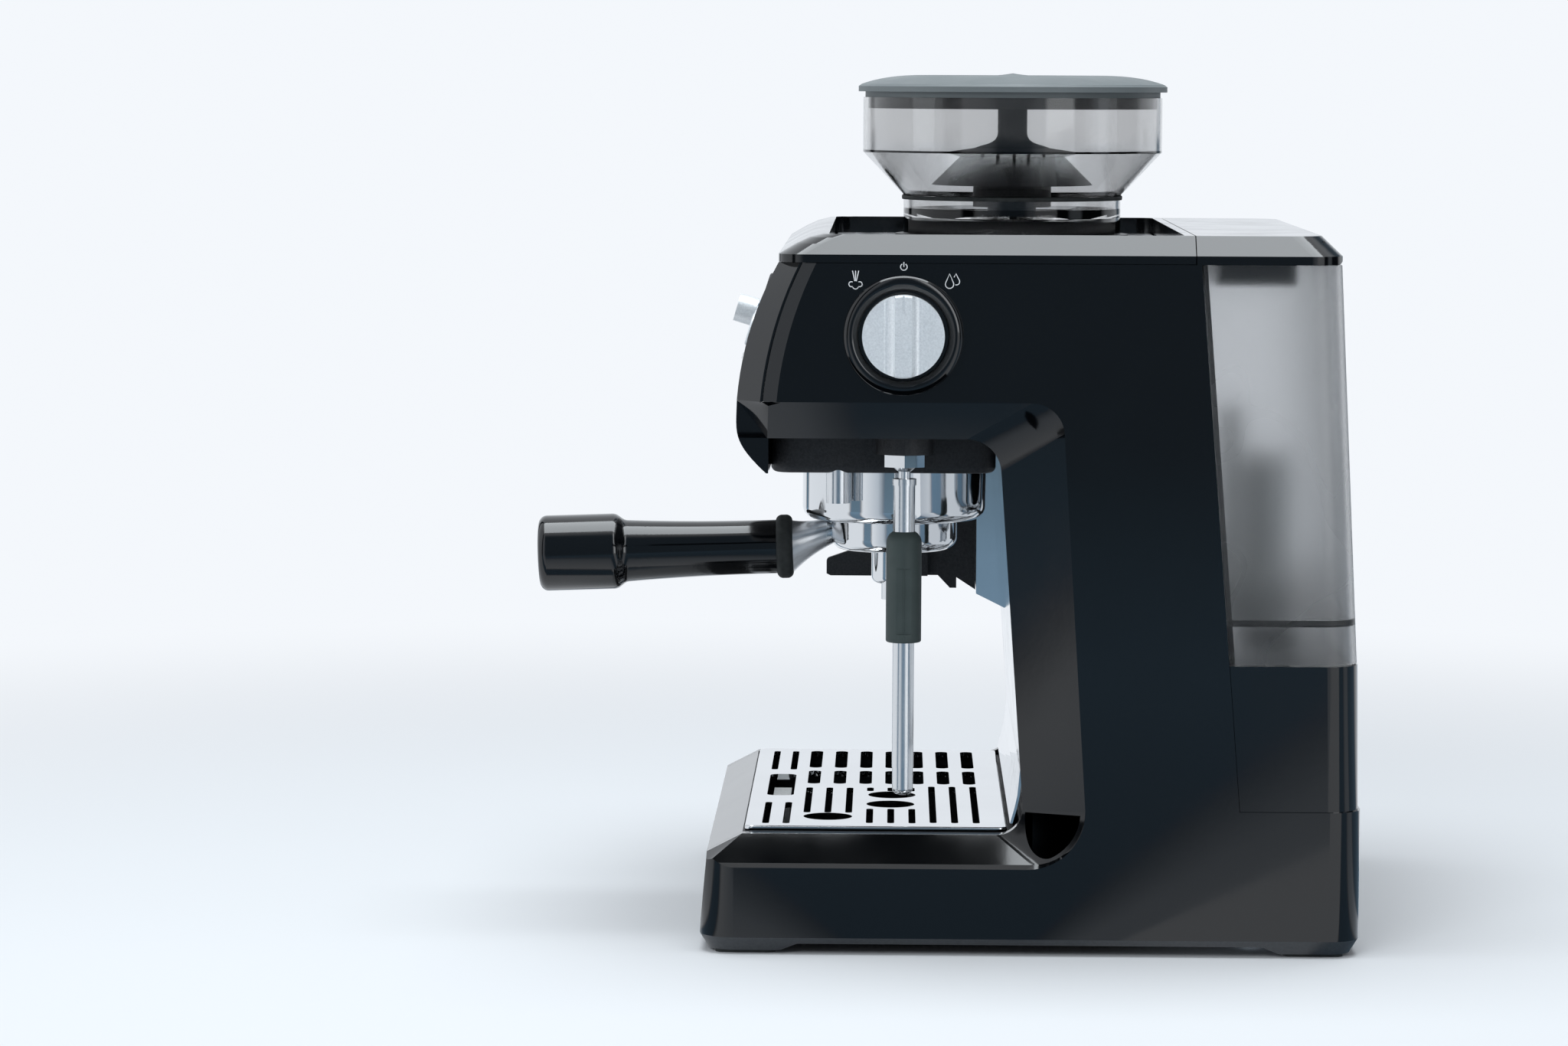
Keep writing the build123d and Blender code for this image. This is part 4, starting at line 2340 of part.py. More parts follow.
# Hoses: from the tank's valve to the pump, up to the heater, and on to the group head.
hose_routes = [
    [
        (pump_x - pump_length / 2, pump_y, pump_z),
        (0, pump_y, pump_z),
        (0, valve_y, pump_z),
        (0, valve_y, rear_top_z - wall),
    ],
    [
        (pump_x + pump_length / 2, pump_y, pump_z),
        (hose_riser_x, pump_y, pump_z),
        (hose_riser_x, pump_y, heater_bottom_z),
    ],
    [
        (hose_deck_x, heater_front_y, heater_bottom_z + heater_height),
        (hose_deck_x, heater_front_y, hose_top_z),
        (hose_deck_x, group_y, hose_top_z),
        (group_x, group_y, hose_top_z),
        (group_x, group_y, group_face_z + head_height),
    ],
]
with BuildPart() as hoses:
    for route in hose_routes:
        with BuildLine() as path:
            FilletPolyline(*route, radius=hose_bend)
        start = path.wires()[0]
        with BuildSketch(Plane(origin=start @ 0, z_dir=start % 0)):
            Circle(hose_radius)
            Circle(hose_bore, mode=Mode.SUBTRACT)
        sweep(path=path.wires()[0])
hoses.part.label = "hoses"
export_step(hoses.part, "parts/hoses.step")
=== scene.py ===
# %% [markdown]
# # Dressing a home espresso machine
# The CAD model already has every shell, knob and tube of the machine in its right place. This lesson gives
# each of them the finish of the real thing, adds the printed marks and small fittings, and lights it in a
# studio. The shells could be modelled again here, but the CAD is exact, so they keep their shape and only
# change material.

# %% Load the frame and note its size
import math
import bpy
import bmesh
from mathutils import Matrix, Vector


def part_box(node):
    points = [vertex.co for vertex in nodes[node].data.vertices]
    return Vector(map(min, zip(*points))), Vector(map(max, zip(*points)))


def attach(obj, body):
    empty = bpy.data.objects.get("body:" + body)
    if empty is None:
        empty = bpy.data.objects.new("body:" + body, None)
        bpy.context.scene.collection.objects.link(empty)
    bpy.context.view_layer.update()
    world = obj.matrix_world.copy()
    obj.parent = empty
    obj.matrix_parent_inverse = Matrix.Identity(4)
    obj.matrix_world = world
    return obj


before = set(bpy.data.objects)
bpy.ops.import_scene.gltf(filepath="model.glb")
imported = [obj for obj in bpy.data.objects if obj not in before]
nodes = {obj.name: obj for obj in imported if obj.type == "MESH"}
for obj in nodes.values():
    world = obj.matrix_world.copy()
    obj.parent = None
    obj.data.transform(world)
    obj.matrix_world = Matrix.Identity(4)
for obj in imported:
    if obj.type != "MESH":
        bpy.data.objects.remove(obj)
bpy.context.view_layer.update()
MM = 0.001

# %% [markdown]
# A studio picture of a glossy black object is mostly a picture of what stands around it. The photographer
# stood on the machine's right side, a little above the table, with a long lens. A camera can be aimed at a
# target by hand, but here the lens is known from its focal length in pixels, so the camera is placed from
# that, its two small turns, and a slight roll.

# %% The camera
picture_width = 2048
focal_pixels = 6465.0
sensor_width = 36.0
nearest_seen, farthest_seen = 0.05, 60.0
pitch = math.radians(5.109)
turn = math.radians(1.249)
roll = math.radians(-0.25)
camera_place = Vector((2.419, -0.0237, 0.4025))
forward = Vector((-math.cos(pitch) * math.cos(turn), -math.cos(pitch) * math.sin(turn), -math.sin(pitch)))
level = Vector((-math.sin(turn), math.cos(turn), 0.0))
upright = level.cross(forward)
right = level * math.cos(roll) - upright * math.sin(roll)
above = upright * math.cos(roll) + level * math.sin(roll)
camera_turn = Matrix((right, above, -forward)).transposed().to_4x4()
lens = bpy.data.cameras.new("studio_camera")
lens.sensor_width = sensor_width
lens.lens = focal_pixels * sensor_width / picture_width
lens.clip_start, lens.clip_end = nearest_seen, farthest_seen
camera = bpy.data.objects.new("studio_camera", lens)
camera.matrix_world = Matrix.Translation(camera_place) @ camera_turn
bpy.context.scene.collection.objects.link(camera)
bpy.context.scene.camera = camera
print("lens of", round(lens.lens, 1), "mm")

# %% [markdown]
# Blender's materials and geometry trees are both graphs of nodes. Adding each node and link in full would
# fill the lesson, so three helpers do it: one sets or links an input, one adds a node with its settings and
# inputs, and one adds a colour ramp with its stops.

# %% Node helpers
def feed(tree, socket, value):
    """Links a socket to the input, or sets the input to a plain value."""
    if isinstance(value, bpy.types.NodeSocket):
        tree.links.new(value, socket)
    else:
        socket.default_value = value


def step(tree, kind, inputs=None, **settings):
    """Adds a node to a tree, with its settings and its inputs."""
    node = tree.nodes.new(kind)
    for key, value in settings.items():
        setattr(node, key, value)
    for key, value in (inputs or {}).items():
        feed(tree, node.inputs[key], value)
    return node


def colour_ramp(tree, share, stops):
    """A ramp of (place, colour) stops, read at a share of its length."""
    ramp = step(tree, "ShaderNodeValToRGB", {0: share})
    elements = ramp.color_ramp.elements
    elements.remove(elements[1])
    for index, (place, colour) in enumerate(stops):
        element = elements.new(place) if index else elements[0]
        element.position = place
        element.color = (*colour, 1.0)
    return ramp.outputs["Color"]


print("three node helpers")

# %% [markdown]
# The room is a plain pale one. A glossy surface mirrors only a ring of it round the horizon, and the ring
# below says what stands in each direction: white walls at the front and the far side, a tall window of a
# softbox at the rear right, black flags beside it, and the dim end of the studio behind the camera, which
# is why the side panel looks black. Walls and flags could be built as objects, but a ramp round the horizon
# gives the same reflections and leaves the shadows alone. Angles are in degrees from the camera's side,
# with the machine's front at minus 90.

# %% The ring that glossy surfaces mirror
white_wall = (0.86, 0.90, 0.95)
black_flag = (0.02, 0.024, 0.03)
dim_end = (0.12, 0.165, 0.21)
pale_gap = (0.55, 0.61, 0.68)
window_light = (3.1, 3.2, 3.3)
ring_peak = 3.3
studio_ring = (
    (-180, white_wall), (-146, white_wall), (-142, black_flag), (-137, black_flag), (-133, white_wall),
    (-58, white_wall), (-54, black_flag), (-43, black_flag), (-39, white_wall), (-20, pale_gap),
    (-12, dim_end), (12, dim_end), (18, pale_gap), (23, pale_gap), (26, window_light), (45, window_light),
    (48, black_flag), (60, black_flag), (64, pale_gap), (76, pale_gap), (80, black_flag),
    (108, black_flag), (116, white_wall), (143, white_wall), (149, dim_end), (155, dim_end),
    (162, white_wall), (180, white_wall),
)
ring_stops = [(degrees / 360 + 0.5, [part / ring_peak for part in colour])
              for degrees, colour in studio_ring]


def mirrored_ring(tree, vector):
    """What a glossy surface mirrors in a compass direction."""
    parts = step(tree, "ShaderNodeSeparateXYZ", {0: vector}).outputs
    angle = step(tree, "ShaderNodeMath", {0: parts["Y"], 1: parts["X"]}, operation="ARCTAN2").outputs[0]
    share = step(tree, "ShaderNodeMath", {0: angle, 1: 0.5 / math.pi, 2: 0.5}, operation="MULTIPLY_ADD")
    ring = colour_ramp(tree, share.outputs[0], ring_stops)
    return step(tree, "ShaderNodeVectorMath", {0: ring, "Scale": ring_peak}, operation="SCALE").outputs[0]


print("ring of", len(studio_ring), "stops")

# %% [markdown]
# One world does three jobs. The camera, and what it sees through clear plastic, gets the pale backdrop.
# Glossy rays get the ring, which fades into the backdrop overhead. All other rays get a weak even fill, so
# that the world lights the machine's matt parts without washing out the shadows. The Light Path node tells
# the rays apart.

# %% The room
backdrop_colour = (0.905, 0.935, 0.975, 1.0)
fill_colour = (0.30, 0.31, 0.33, 1.0)
ring_fade_start, ring_fade_end = 0.8, 0.93
world = bpy.data.worlds.new("studio")
world.use_nodes = True
bpy.context.scene.world = world
room = world.node_tree
room.nodes.clear()
direction = step(room, "ShaderNodeTexCoord").outputs["Generated"]
height = step(room, "ShaderNodeSeparateXYZ", {0: direction}).outputs["Z"]
above_ring = step(room, "ShaderNodeMapRange",
                  {"Value": height, "From Min": ring_fade_start, "From Max": ring_fade_end},
                  interpolation_type="SMOOTHSTEP").outputs["Result"]
rays = step(room, "ShaderNodeLightPath").outputs
mirrored = step(room, "ShaderNodeMix",
                {0: above_ring, 6: mirrored_ring(room, direction), 7: backdrop_colour},
                data_type="RGBA").outputs[2]
seen = step(room, "ShaderNodeMath", {0: rays["Is Camera Ray"], 1: rays["Is Transmission Ray"]},
            operation="MAXIMUM").outputs[0]
backdrop = step(room, "ShaderNodeBackground", {0: backdrop_colour}).outputs[0]
mirror_room = step(room, "ShaderNodeBackground", {0: mirrored}).outputs[0]
fill = step(room, "ShaderNodeBackground", {0: fill_colour}).outputs[0]
lit = step(room, "ShaderNodeMixShader", {0: rays["Is Glossy Ray"], 1: fill, 2: mirror_room}).outputs[0]
shown = step(room, "ShaderNodeMixShader", {0: seen, 1: lit, 2: backdrop}).outputs[0]
step(room, "ShaderNodeOutputWorld", {0: shown})
bpy.context.scene.view_settings.view_transform = "Standard"
print("room with", len(room.nodes), "nodes")

# %% [markdown]
# The floor is a wide sheet of pale paper. Close to the machine it is a matt surface that takes the soft
# shadow, and further out it turns into the backdrop's own colour, so that no horizon shows. In reflections
# the far part carries the same ring as the room, so the upright bands in the steel run on below the
# horizon. The camera looks down a little on the side panel, which so mirrors only this paper, and the
# paper's dimness by distance sets the panel's tone. A curved paper sweep would hide the horizon too, but
# its bend would show in the steel.

# %% The floor's paper
paper_fade = (0.4, 1.3)
mirror_fade = (0.15, 0.2)
paper_colour = (0.79, 0.80, 0.815, 1.0)
dimming_reach = 9.0
paper_dimness = ((0.0, (0.13, 0.20, 0.27)), (0.14, (0.19, 0.30, 0.41)), (0.3, (0.13, 0.20, 0.26)),
                 (0.45, (0.03, 0.04, 0.05)), (1.0, (0.006, 0.008, 0.01)))
paper = bpy.data.materials.new("studio_paper")
paper.use_nodes = True
paper_tree = paper.node_tree
paper_tree.nodes.clear()
paper_place = step(paper_tree, "ShaderNodeTexCoord").outputs["Object"]
reach = step(paper_tree, "ShaderNodeVectorMath", {0: paper_place}, operation="LENGTH").outputs["Value"]
watched = step(paper_tree, "ShaderNodeLightPath").outputs


def far_share(fade, ray):
    """How much of a kind of ray gets the far paper, from none at one distance to all at the next."""
    start, end = fade
    share = step(paper_tree, "ShaderNodeMapRange", {"Value": reach, "From Min": start, "From Max": end},
                 interpolation_type="SMOOTHSTEP").outputs["Result"]
    return step(paper_tree, "ShaderNodeMath", {0: share, 1: ray}, operation="MULTIPLY").outputs[0]


direct = step(paper_tree, "ShaderNodeMath",
              {0: watched["Is Camera Ray"], 1: watched["Is Transmission Ray"]},
              operation="MAXIMUM").outputs[0]
capped = step(paper_tree, "ShaderNodeVectorMath",
              {0: mirrored_ring(paper_tree, paper_place), 1: white_wall}, operation="MINIMUM").outputs[0]
dim_share = step(paper_tree, "ShaderNodeMath", {0: reach, 1: dimming_reach}, operation="DIVIDE").outputs[0]
dimmed = colour_ramp(paper_tree, dim_share, paper_dimness)
dim_paper = step(paper_tree, "ShaderNodeVectorMath", {0: capped, 1: dimmed}, operation="MAXIMUM").outputs[0]
matt = step(paper_tree, "ShaderNodeBsdfDiffuse", {"Color": paper_colour}).outputs[0]
glow = step(paper_tree, "ShaderNodeEmission", {"Color": backdrop_colour}).outputs[0]
mirror_glow = step(paper_tree, "ShaderNodeEmission", {"Color": dim_paper}).outputs[0]
far_paper = step(paper_tree, "ShaderNodeMixShader",
                 {0: far_share(paper_fade, direct), 1: matt, 2: glow}).outputs[0]
mirror_share = far_share(mirror_fade, watched["Is Glossy Ray"])
paper_mix = step(paper_tree, "ShaderNodeMixShader", {0: mirror_share, 1: far_paper, 2: mirror_glow})
step(paper_tree, "ShaderNodeOutputMaterial", {0: paper_mix.outputs[0]})
print("paper with", len(paper_tree.nodes), "nodes")

# %% [markdown]
# The floor itself is one flat sheet, large enough to run past the far end of what the camera sees. It is
# staging and no part of the machine.

# %% The floor
def flat_sheet(name, low, high, height, material):
    """A level rectangle from its low (x, y) corner to its high one."""
    mesh = bpy.data.meshes.new(name)
    corners = ((low[0], low[1]), (high[0], low[1]), (high[0], high[1]), (low[0], high[1]))
    mesh.from_pydata([(x, y, height) for x, y in corners], [], [(0, 1, 2, 3)])
    mesh.materials.append(material)
    sheet = bpy.data.objects.new(name, mesh)
    bpy.context.scene.collection.objects.link(sheet)
    return sheet


floor_half = 30.0
floor = flat_sheet("studio_floor", (-floor_half, -floor_half), (floor_half, floor_half), 0.0, paper)
print("floor of", 2 * floor_half, "m")

# %% [markdown]
# One large softbox hangs over the machine and gives nearly all of the light: every bevel that faces up
# mirrors it. Three weaker ones only fill the matt parts, and glossy surfaces don't see them. Area lamps are
# used rather than points, because a black gloss shell shows the lamp's own shape.

# %% The lamps
lamp_colour = (0.90, 0.96, 1.0)
machine_middle = (0.0, 0.0, 0.2)
softboxes = (
    ("top_softbox", (0.05, 0.0, 1.9), (0.05, 0.0, 0.0), (1.3, 1.5), 5.0),
    ("camera_softbox", (2.3, -0.8, 1.6), machine_middle, (1.2, 1.2), 4.5),
    ("front_softbox", (0.5, -1.9, 0.9), machine_middle, (0.8, 1.2), 1.6),
    ("rear_softbox", (0.4, 2.0, 0.8), machine_middle, (0.7, 1.2), 1.3),
)


def softbox(name, place, aim, size, glare):
    """A rectangular area lamp at a place, turned to a point, with the given radiance."""
    lamp = bpy.data.lights.new(name, "AREA")
    lamp.shape = "RECTANGLE"
    lamp.size, lamp.size_y = size
    lamp.energy = glare * size[0] * size[1] * math.pi
    lamp.color = lamp_colour
    holder = bpy.data.objects.new(name, lamp)
    holder.location = place
    holder.rotation_mode = "QUATERNION"
    holder.rotation_quaternion = (Vector(aim) - Vector(place)).to_track_quat("-Z", "Y")
    bpy.context.scene.collection.objects.link(holder)
    return holder


for name, place, aim, size, glare in softboxes:
    softbox(name, place, aim, size, glare).visible_glossy = name == "top_softbox"
print(len(softboxes), "softboxes")

# %% [markdown]
# The sloping edge of the base would mirror the top softbox and shine, while on the real machine it is dark.
# A photographer hangs a strip of black cloth in the way. This one lies level beside the head's lower right
# edge, and only glossy surfaces see it, so it casts no shadow.

# %% A black cloth over the base's edge
cloth_black = (0.002, 0.002, 0.002, 1.0)
cloth_low, cloth_high, cloth_height = (0.1635, -0.135), (0.2, 0.035), 0.237
flag_cloth = bpy.data.materials.new("flag_cloth")
flag_cloth.use_nodes = True
cloth_shader = flag_cloth.node_tree.nodes["Principled BSDF"]
cloth_shader.inputs["Base Color"].default_value = cloth_black
cloth_shader.inputs["Specular IOR Level"].default_value = 0.0
flag = flat_sheet("black_flag", cloth_low, cloth_high, cloth_height, flag_cloth)
for ray in ("camera", "diffuse", "transmission", "shadow"):
    setattr(flag, "visible_" + ray, False)
print("flag", cloth_height, "m above the floor")

# %% [markdown]
# Most of the shell is injection-moulded plastic, and real plastic is never quite even: gloss mouldings have
# a faint orange peel, matt ones a spark-eroded grain, and both gather a little dust and grease. Image
# textures would need unwrapping, so noise in Object coordinates does it, and it rides with each part as the
# part moves. What is the same all over a surface is set on the shader itself.

# %% A finish with its constants
def finish(name, colour, roughness, **constants):
    """A Principled material with its constants on the shader's own sockets."""
    material = bpy.data.materials.new(name)
    material.use_nodes = True
    shader = material.node_tree.nodes["Principled BSDF"]
    shader.inputs["Base Color"].default_value = (*colour, 1.0)
    shader.inputs["Roughness"].default_value = roughness
    for key, value in constants.items():
        shader.inputs[key.replace("_", " ")].default_value = value
    material.diffuse_color = (*colour, 1.0)
    return material


# %% [markdown]
# Two patterns drive what varies: noise, whose size is given as features to the metre, so that a grain has
# its real scale, and a point's own height or depth on the part. Most of the noise lies between the two
# values below, and the finishes stretch that range to their own.

# %% Patterns
noise_low, noise_high = 0.3, 0.7


def grain(material, per_metre, stretch=(1.0, 1.0, 1.0), detail=2.0):
    """Noise with so many features to the metre, which may be stretched along an axis."""
    tree = material.node_tree
    place = step(tree, "ShaderNodeTexCoord").outputs["Object"]
    drawn_out = step(tree, "ShaderNodeMapping", {"Vector": place, "Scale": stretch}).outputs[0]
    noise = step(tree, "ShaderNodeTexNoise", {"Vector": drawn_out, "Scale": per_metre, "Detail": detail})
    return noise.outputs["Fac"]


def along(material, axis):
    """A point's own coordinate along an axis, in metres."""
    tree = material.node_tree
    place = step(tree, "ShaderNodeTexCoord").outputs["Object"]
    return step(tree, "ShaderNodeSeparateXYZ", {0: place}).outputs[axis]


print("noise runs from", noise_low, "to", noise_high)

# %% [markdown]
# A pattern can change three things: how sharp the reflection is, what colour the surface has, and which way
# it faces. The last is a bump, whose depth is given in metres, and several bumps are laid one over the
# other.

# %% What a pattern changes
def vary_roughness(material, pattern, low, high, start=noise_low, end=noise_high):
    """Lets the roughness go from one value to another as the pattern goes from its start to its end."""
    tree = material.node_tree
    spread = step(tree, "ShaderNodeMapRange",
                  {"Value": pattern, "From Min": start, "From Max": end, "To Min": low, "To Max": high})
    feed(tree, tree.nodes["Principled BSDF"].inputs["Roughness"], spread.outputs[0])


def vary_colour(material, pattern, dark, light):
    """Lets the colour wander between two shades."""
    tree = material.node_tree
    factor = step(tree, "ShaderNodeMapRange",
                  {"Value": pattern, "From Min": noise_low, "From Max": noise_high}).outputs[0]
    blend = step(tree, "ShaderNodeMix", {0: factor, 6: (*dark, 1.0), 7: (*light, 1.0)}, data_type="RGBA")
    feed(tree, tree.nodes["Principled BSDF"].inputs["Base Color"], blend.outputs[2])


def roughen(material, *layers):
    """Bump of one or more (pattern, depth in metres) layers."""
    tree = material.node_tree
    normal = None
    for pattern, depth in layers:
        inputs = {"Height": pattern, "Distance": depth, "Strength": 1.0}
        if normal:
            inputs["Normal"] = normal
        normal = step(tree, "ShaderNodeBump", inputs).outputs[0]
    feed(tree, tree.nodes["Principled BSDF"].inputs["Normal"], normal)


print("a pattern changes roughness, colour or bump")

# %% [markdown]
# The shell is gloss black plastic. Its colour is close to nothing, and what the eye reads is the sharp
# reflection with a soft waviness of a few centimetres. A plain glossy black would look like glass, so two
# layers of bump are added: the fine orange peel, and the slow waviness of a thin moulded wall.

# %% Gloss black plastic
gloss_black = finish("gloss_black", (0.0012, 0.0016, 0.0022), 0.08, Specular_IOR_Level=0.5, Coat_Weight=0.3,
                     Coat_Roughness=0.05)
vary_roughness(gloss_black, grain(gloss_black, 30.0, detail=4.0), 0.06, 0.13)
vary_colour(gloss_black, grain(gloss_black, 9.0), (0.001, 0.0013, 0.0019), (0.0015, 0.002, 0.0027))
roughen(gloss_black, (grain(gloss_black, 420.0), 0.000006), (grain(gloss_black, 60.0), 0.00002))
print("gloss black with", len(gloss_black.node_tree.nodes), "nodes")

# %% [markdown]
# The block over the group, the tray and the cradle are moulded in a coarse matt black, whose grain is plain
# to see from a step away. The foot frame and the unseen housings are finer and a little greyer. All three
# are the same kind of finish with another depth and size of grain, so each takes a few short lines.

# %% Matt and satin blacks
matt_black = finish("matt_black", (0.014, 0.015, 0.017), 0.5, Specular_IOR_Level=0.45)
vary_roughness(matt_black, grain(matt_black, 40.0, detail=4.0), 0.42, 0.58)
vary_colour(matt_black, grain(matt_black, 900.0), (0.009, 0.010, 0.012), (0.021, 0.022, 0.025))
roughen(matt_black, (grain(matt_black, 1300.0), 0.00014), (grain(matt_black, 420.0), 0.0001))
frame_grey = finish("frame_grey", (0.03, 0.034, 0.039), 0.42, Specular_IOR_Level=0.45)
vary_roughness(frame_grey, grain(frame_grey, 50.0, detail=4.0), 0.36, 0.5)
vary_colour(frame_grey, grain(frame_grey, 700.0), (0.025, 0.029, 0.034), (0.036, 0.041, 0.046))
roughen(frame_grey, (grain(frame_grey, 2200.0), 0.00004))
inner_black = finish("inner_black", (0.02, 0.021, 0.023), 0.4, Specular_IOR_Level=0.4)
vary_roughness(inner_black, grain(inner_black, 60.0, detail=4.0), 0.34, 0.48)
roughen(inner_black, (grain(inner_black, 1800.0), 0.00003))
print("three matt and satin blacks")

# %% [markdown]
# The hopper's lid is a satin grey cap, and its skirt, which goes down into the bowl, is a black seal. The
# two are one part in the CAD, so the finish changes colour at the height of the bowl's rim. A second
# material slot would need faces picked by hand, and a height is simpler.

# %% The grey lid and its black skirt
seal_black = (0.012, 0.013, 0.014)


def colour_below(material, height, colour):
    """Gives what lies below a height another colour."""
    tree = material.node_tree
    shade = tree.nodes["Principled BSDF"].inputs["Base Color"]
    higher = step(tree, "ShaderNodeMath", {0: along(material, "Z"), 1: height}, operation="GREATER_THAN")
    blend = step(tree, "ShaderNodeMix",
                 {0: higher.outputs[0], 6: (*colour, 1.0), 7: shade.links[0].from_socket}, data_type="RGBA")
    feed(tree, shade, blend.outputs[2])


lid_grey = finish("lid_grey", (0.15, 0.17, 0.175), 0.5, Specular_IOR_Level=0.4)
vary_roughness(lid_grey, grain(lid_grey, 45.0, detail=4.0), 0.44, 0.58)
vary_colour(lid_grey, grain(lid_grey, 15.0), (0.14, 0.16, 0.165), (0.16, 0.18, 0.185))
bowl_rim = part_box("hopper_bowl")[1][2]
colour_below(lid_grey, bowl_rim, seal_black)
roughen(lid_grey, (grain(lid_grey, 1700.0), 0.00003))
print("skirt is black below", round(bowl_rim / MM, 1), "mm")

# %% [markdown]
# The feet, the group's gasket and the ring on the handle are black rubber, and the steam wand's grip is a
# grey-green silicone. Rubber has no gloss to speak of, so its look is in a fine bump and in the dust that
# it holds, which the wandering colour stands for.

# %% Rubbers
rubber = finish("rubber", (0.016, 0.018, 0.018), 0.72, Specular_IOR_Level=0.35)
vary_roughness(rubber, grain(rubber, 80.0, detail=4.0), 0.66, 0.82)
vary_colour(rubber, grain(rubber, 300.0), (0.013, 0.015, 0.015), (0.023, 0.026, 0.026))
roughen(rubber, (grain(rubber, 2600.0), 0.00005))
grip_rubber = finish("grip_rubber", (0.046, 0.062, 0.06), 0.55, Specular_IOR_Level=0.35)
vary_roughness(grip_rubber, grain(grip_rubber, 90.0, detail=4.0), 0.5, 0.62)
vary_colour(grip_rubber, grain(grip_rubber, 60.0), (0.04, 0.055, 0.053), (0.053, 0.07, 0.068))
roughen(grip_rubber, (grain(grip_rubber, 2600.0), 0.00003))
print("two rubbers")

# %% [markdown]
# The steel comes mirror-polished, satin and brushed. A metal has almost no colour of its own, so its finish
# is a matter of how far it smears what it mirrors. Brushing is the same noise, stretched up to a hundred
# times along one axis.

# %% Steels
along_x, along_z = (0.02, 1.0, 1.0), (1.0, 1.0, 0.03)
fine_along_x = (0.01, 1.0, 1.0)
polished_steel = finish("polished_steel", (0.74, 0.755, 0.77), 0.05, Metallic=1.0)
vary_roughness(polished_steel, grain(polished_steel, 70.0, detail=5.0), 0.03, 0.1)
vary_colour(polished_steel, grain(polished_steel, 20.0), (0.72, 0.735, 0.75), (0.77, 0.785, 0.80))
roughen(polished_steel, (grain(polished_steel, 90.0), 0.000012))
brushed_steel = finish("brushed_steel", (0.66, 0.67, 0.68), 0.25, Metallic=1.0)
vary_roughness(brushed_steel, grain(brushed_steel, 60.0, along_x, 6.0), 0.16, 0.3)
roughen(brushed_steel, (grain(brushed_steel, 3000.0, fine_along_x), 0.000008))
satin_steel = finish("satin_steel", (0.72, 0.735, 0.75), 0.2, Metallic=1.0)
vary_roughness(satin_steel, grain(satin_steel, 90.0, detail=4.0), 0.17, 0.26)
roughen(satin_steel, (grain(satin_steel, 2500.0, along_z), 0.000004))
print("three steels")

# %% [markdown]
# The portafilter's bowl is polished, while its neck, which the handle screws onto, is left satin. Both are
# one part, so the roughness changes over a few millimetres along the machine's depth, where the neck meets
# the bowl.

# %% The portafilter's steel
neck_end, bowl_start = -0.056, -0.050
neck_roughness, bowl_roughness = 0.33, 0.05
portafilter_steel = finish("portafilter_steel", (0.74, 0.755, 0.77), 0.06, Metallic=1.0)
vary_roughness(portafilter_steel, along(portafilter_steel, "Y"), neck_roughness, bowl_roughness,
               neck_end, bowl_start)
roughen(portafilter_steel, (grain(portafilter_steel, 1600.0), 0.000006))
print("neck is satin up to", neck_end / MM, "mm")

# %% [markdown]
# The dials and keys are bead-blasted aluminium, whose fine pits scatter light so widely that they look
# nearly white. A full metal would mirror the dark studio and turn grey, so this one is only partly
# metallic. The group and the motor are rough castings, the burrs hardened steel, and the heater brass.

# %% Aluminium, burrs and brass
blasted_aluminium = finish("blasted_aluminium", (0.80, 0.83, 0.85), 0.4, Metallic=0.4)
vary_roughness(blasted_aluminium, grain(blasted_aluminium, 120.0, detail=4.0), 0.36, 0.46)
vary_colour(blasted_aluminium, grain(blasted_aluminium, 1200.0), (0.74, 0.77, 0.79), (0.88, 0.91, 0.93))
roughen(blasted_aluminium, (grain(blasted_aluminium, 1900.0), 0.00004))
cast_aluminium = finish("cast_aluminium", (0.5, 0.505, 0.51), 0.4, Metallic=1.0)
vary_roughness(cast_aluminium, grain(cast_aluminium, 150.0, detail=4.0), 0.34, 0.5)
roughen(cast_aluminium, (grain(cast_aluminium, 900.0), 0.00006))
burr_steel = finish("burr_steel", (0.36, 0.365, 0.37), 0.3, Metallic=1.0)
vary_roughness(burr_steel, grain(burr_steel, 300.0), 0.22, 0.4)
roughen(burr_steel, (grain(burr_steel, 1400.0), 0.00003))
brass = finish("brass", (0.62, 0.46, 0.2), 0.3, Metallic=1.0)
vary_roughness(brass, grain(brass, 200.0), 0.22, 0.4)
roughen(brass, (grain(brass, 700.0), 0.00002))
print("four more metals")

# %% [markdown]
# The hopper and the tank are moulded in tinted clear plastic. The hopper is water clear with a smoke tint;
# the tank is slightly frosted inside, so what stands in it shows as a soft shadow. Both are real walls with
# an inside and an outside, so the light is bent and tinted as it is in the real ones, which a see-through
# shader on a thin skin would not do.

# %% Clear plastics
smoke_clear = finish("smoke_clear", (0.70, 0.70, 0.70), 0.02, Transmission_Weight=1.0, IOR=1.45)
vary_roughness(smoke_clear, grain(smoke_clear, 60.0, detail=4.0), 0.01, 0.03)
tank_clear = finish("tank_clear", (0.77, 0.775, 0.78), 0.28, Transmission_Weight=1.0, IOR=1.38)
vary_roughness(tank_clear, grain(tank_clear, 8.0), 0.26, 0.3)
gauge_clear = finish("gauge_clear", (0.95, 0.96, 0.97), 0.02, Transmission_Weight=1.0, IOR=1.45)
vary_roughness(gauge_clear, grain(gauge_clear, 80.0, detail=4.0), 0.01, 0.03)
print("three clear plastics")

# %% [markdown]
# What is left is small or inside: the gauge's face and needle, the white print on the shell, the lenses of
# the key lamps, the circuit board, the water filter and the hoses. Each still gets a colour or a roughness
# that wanders, because the tank and the slots let the eye in.

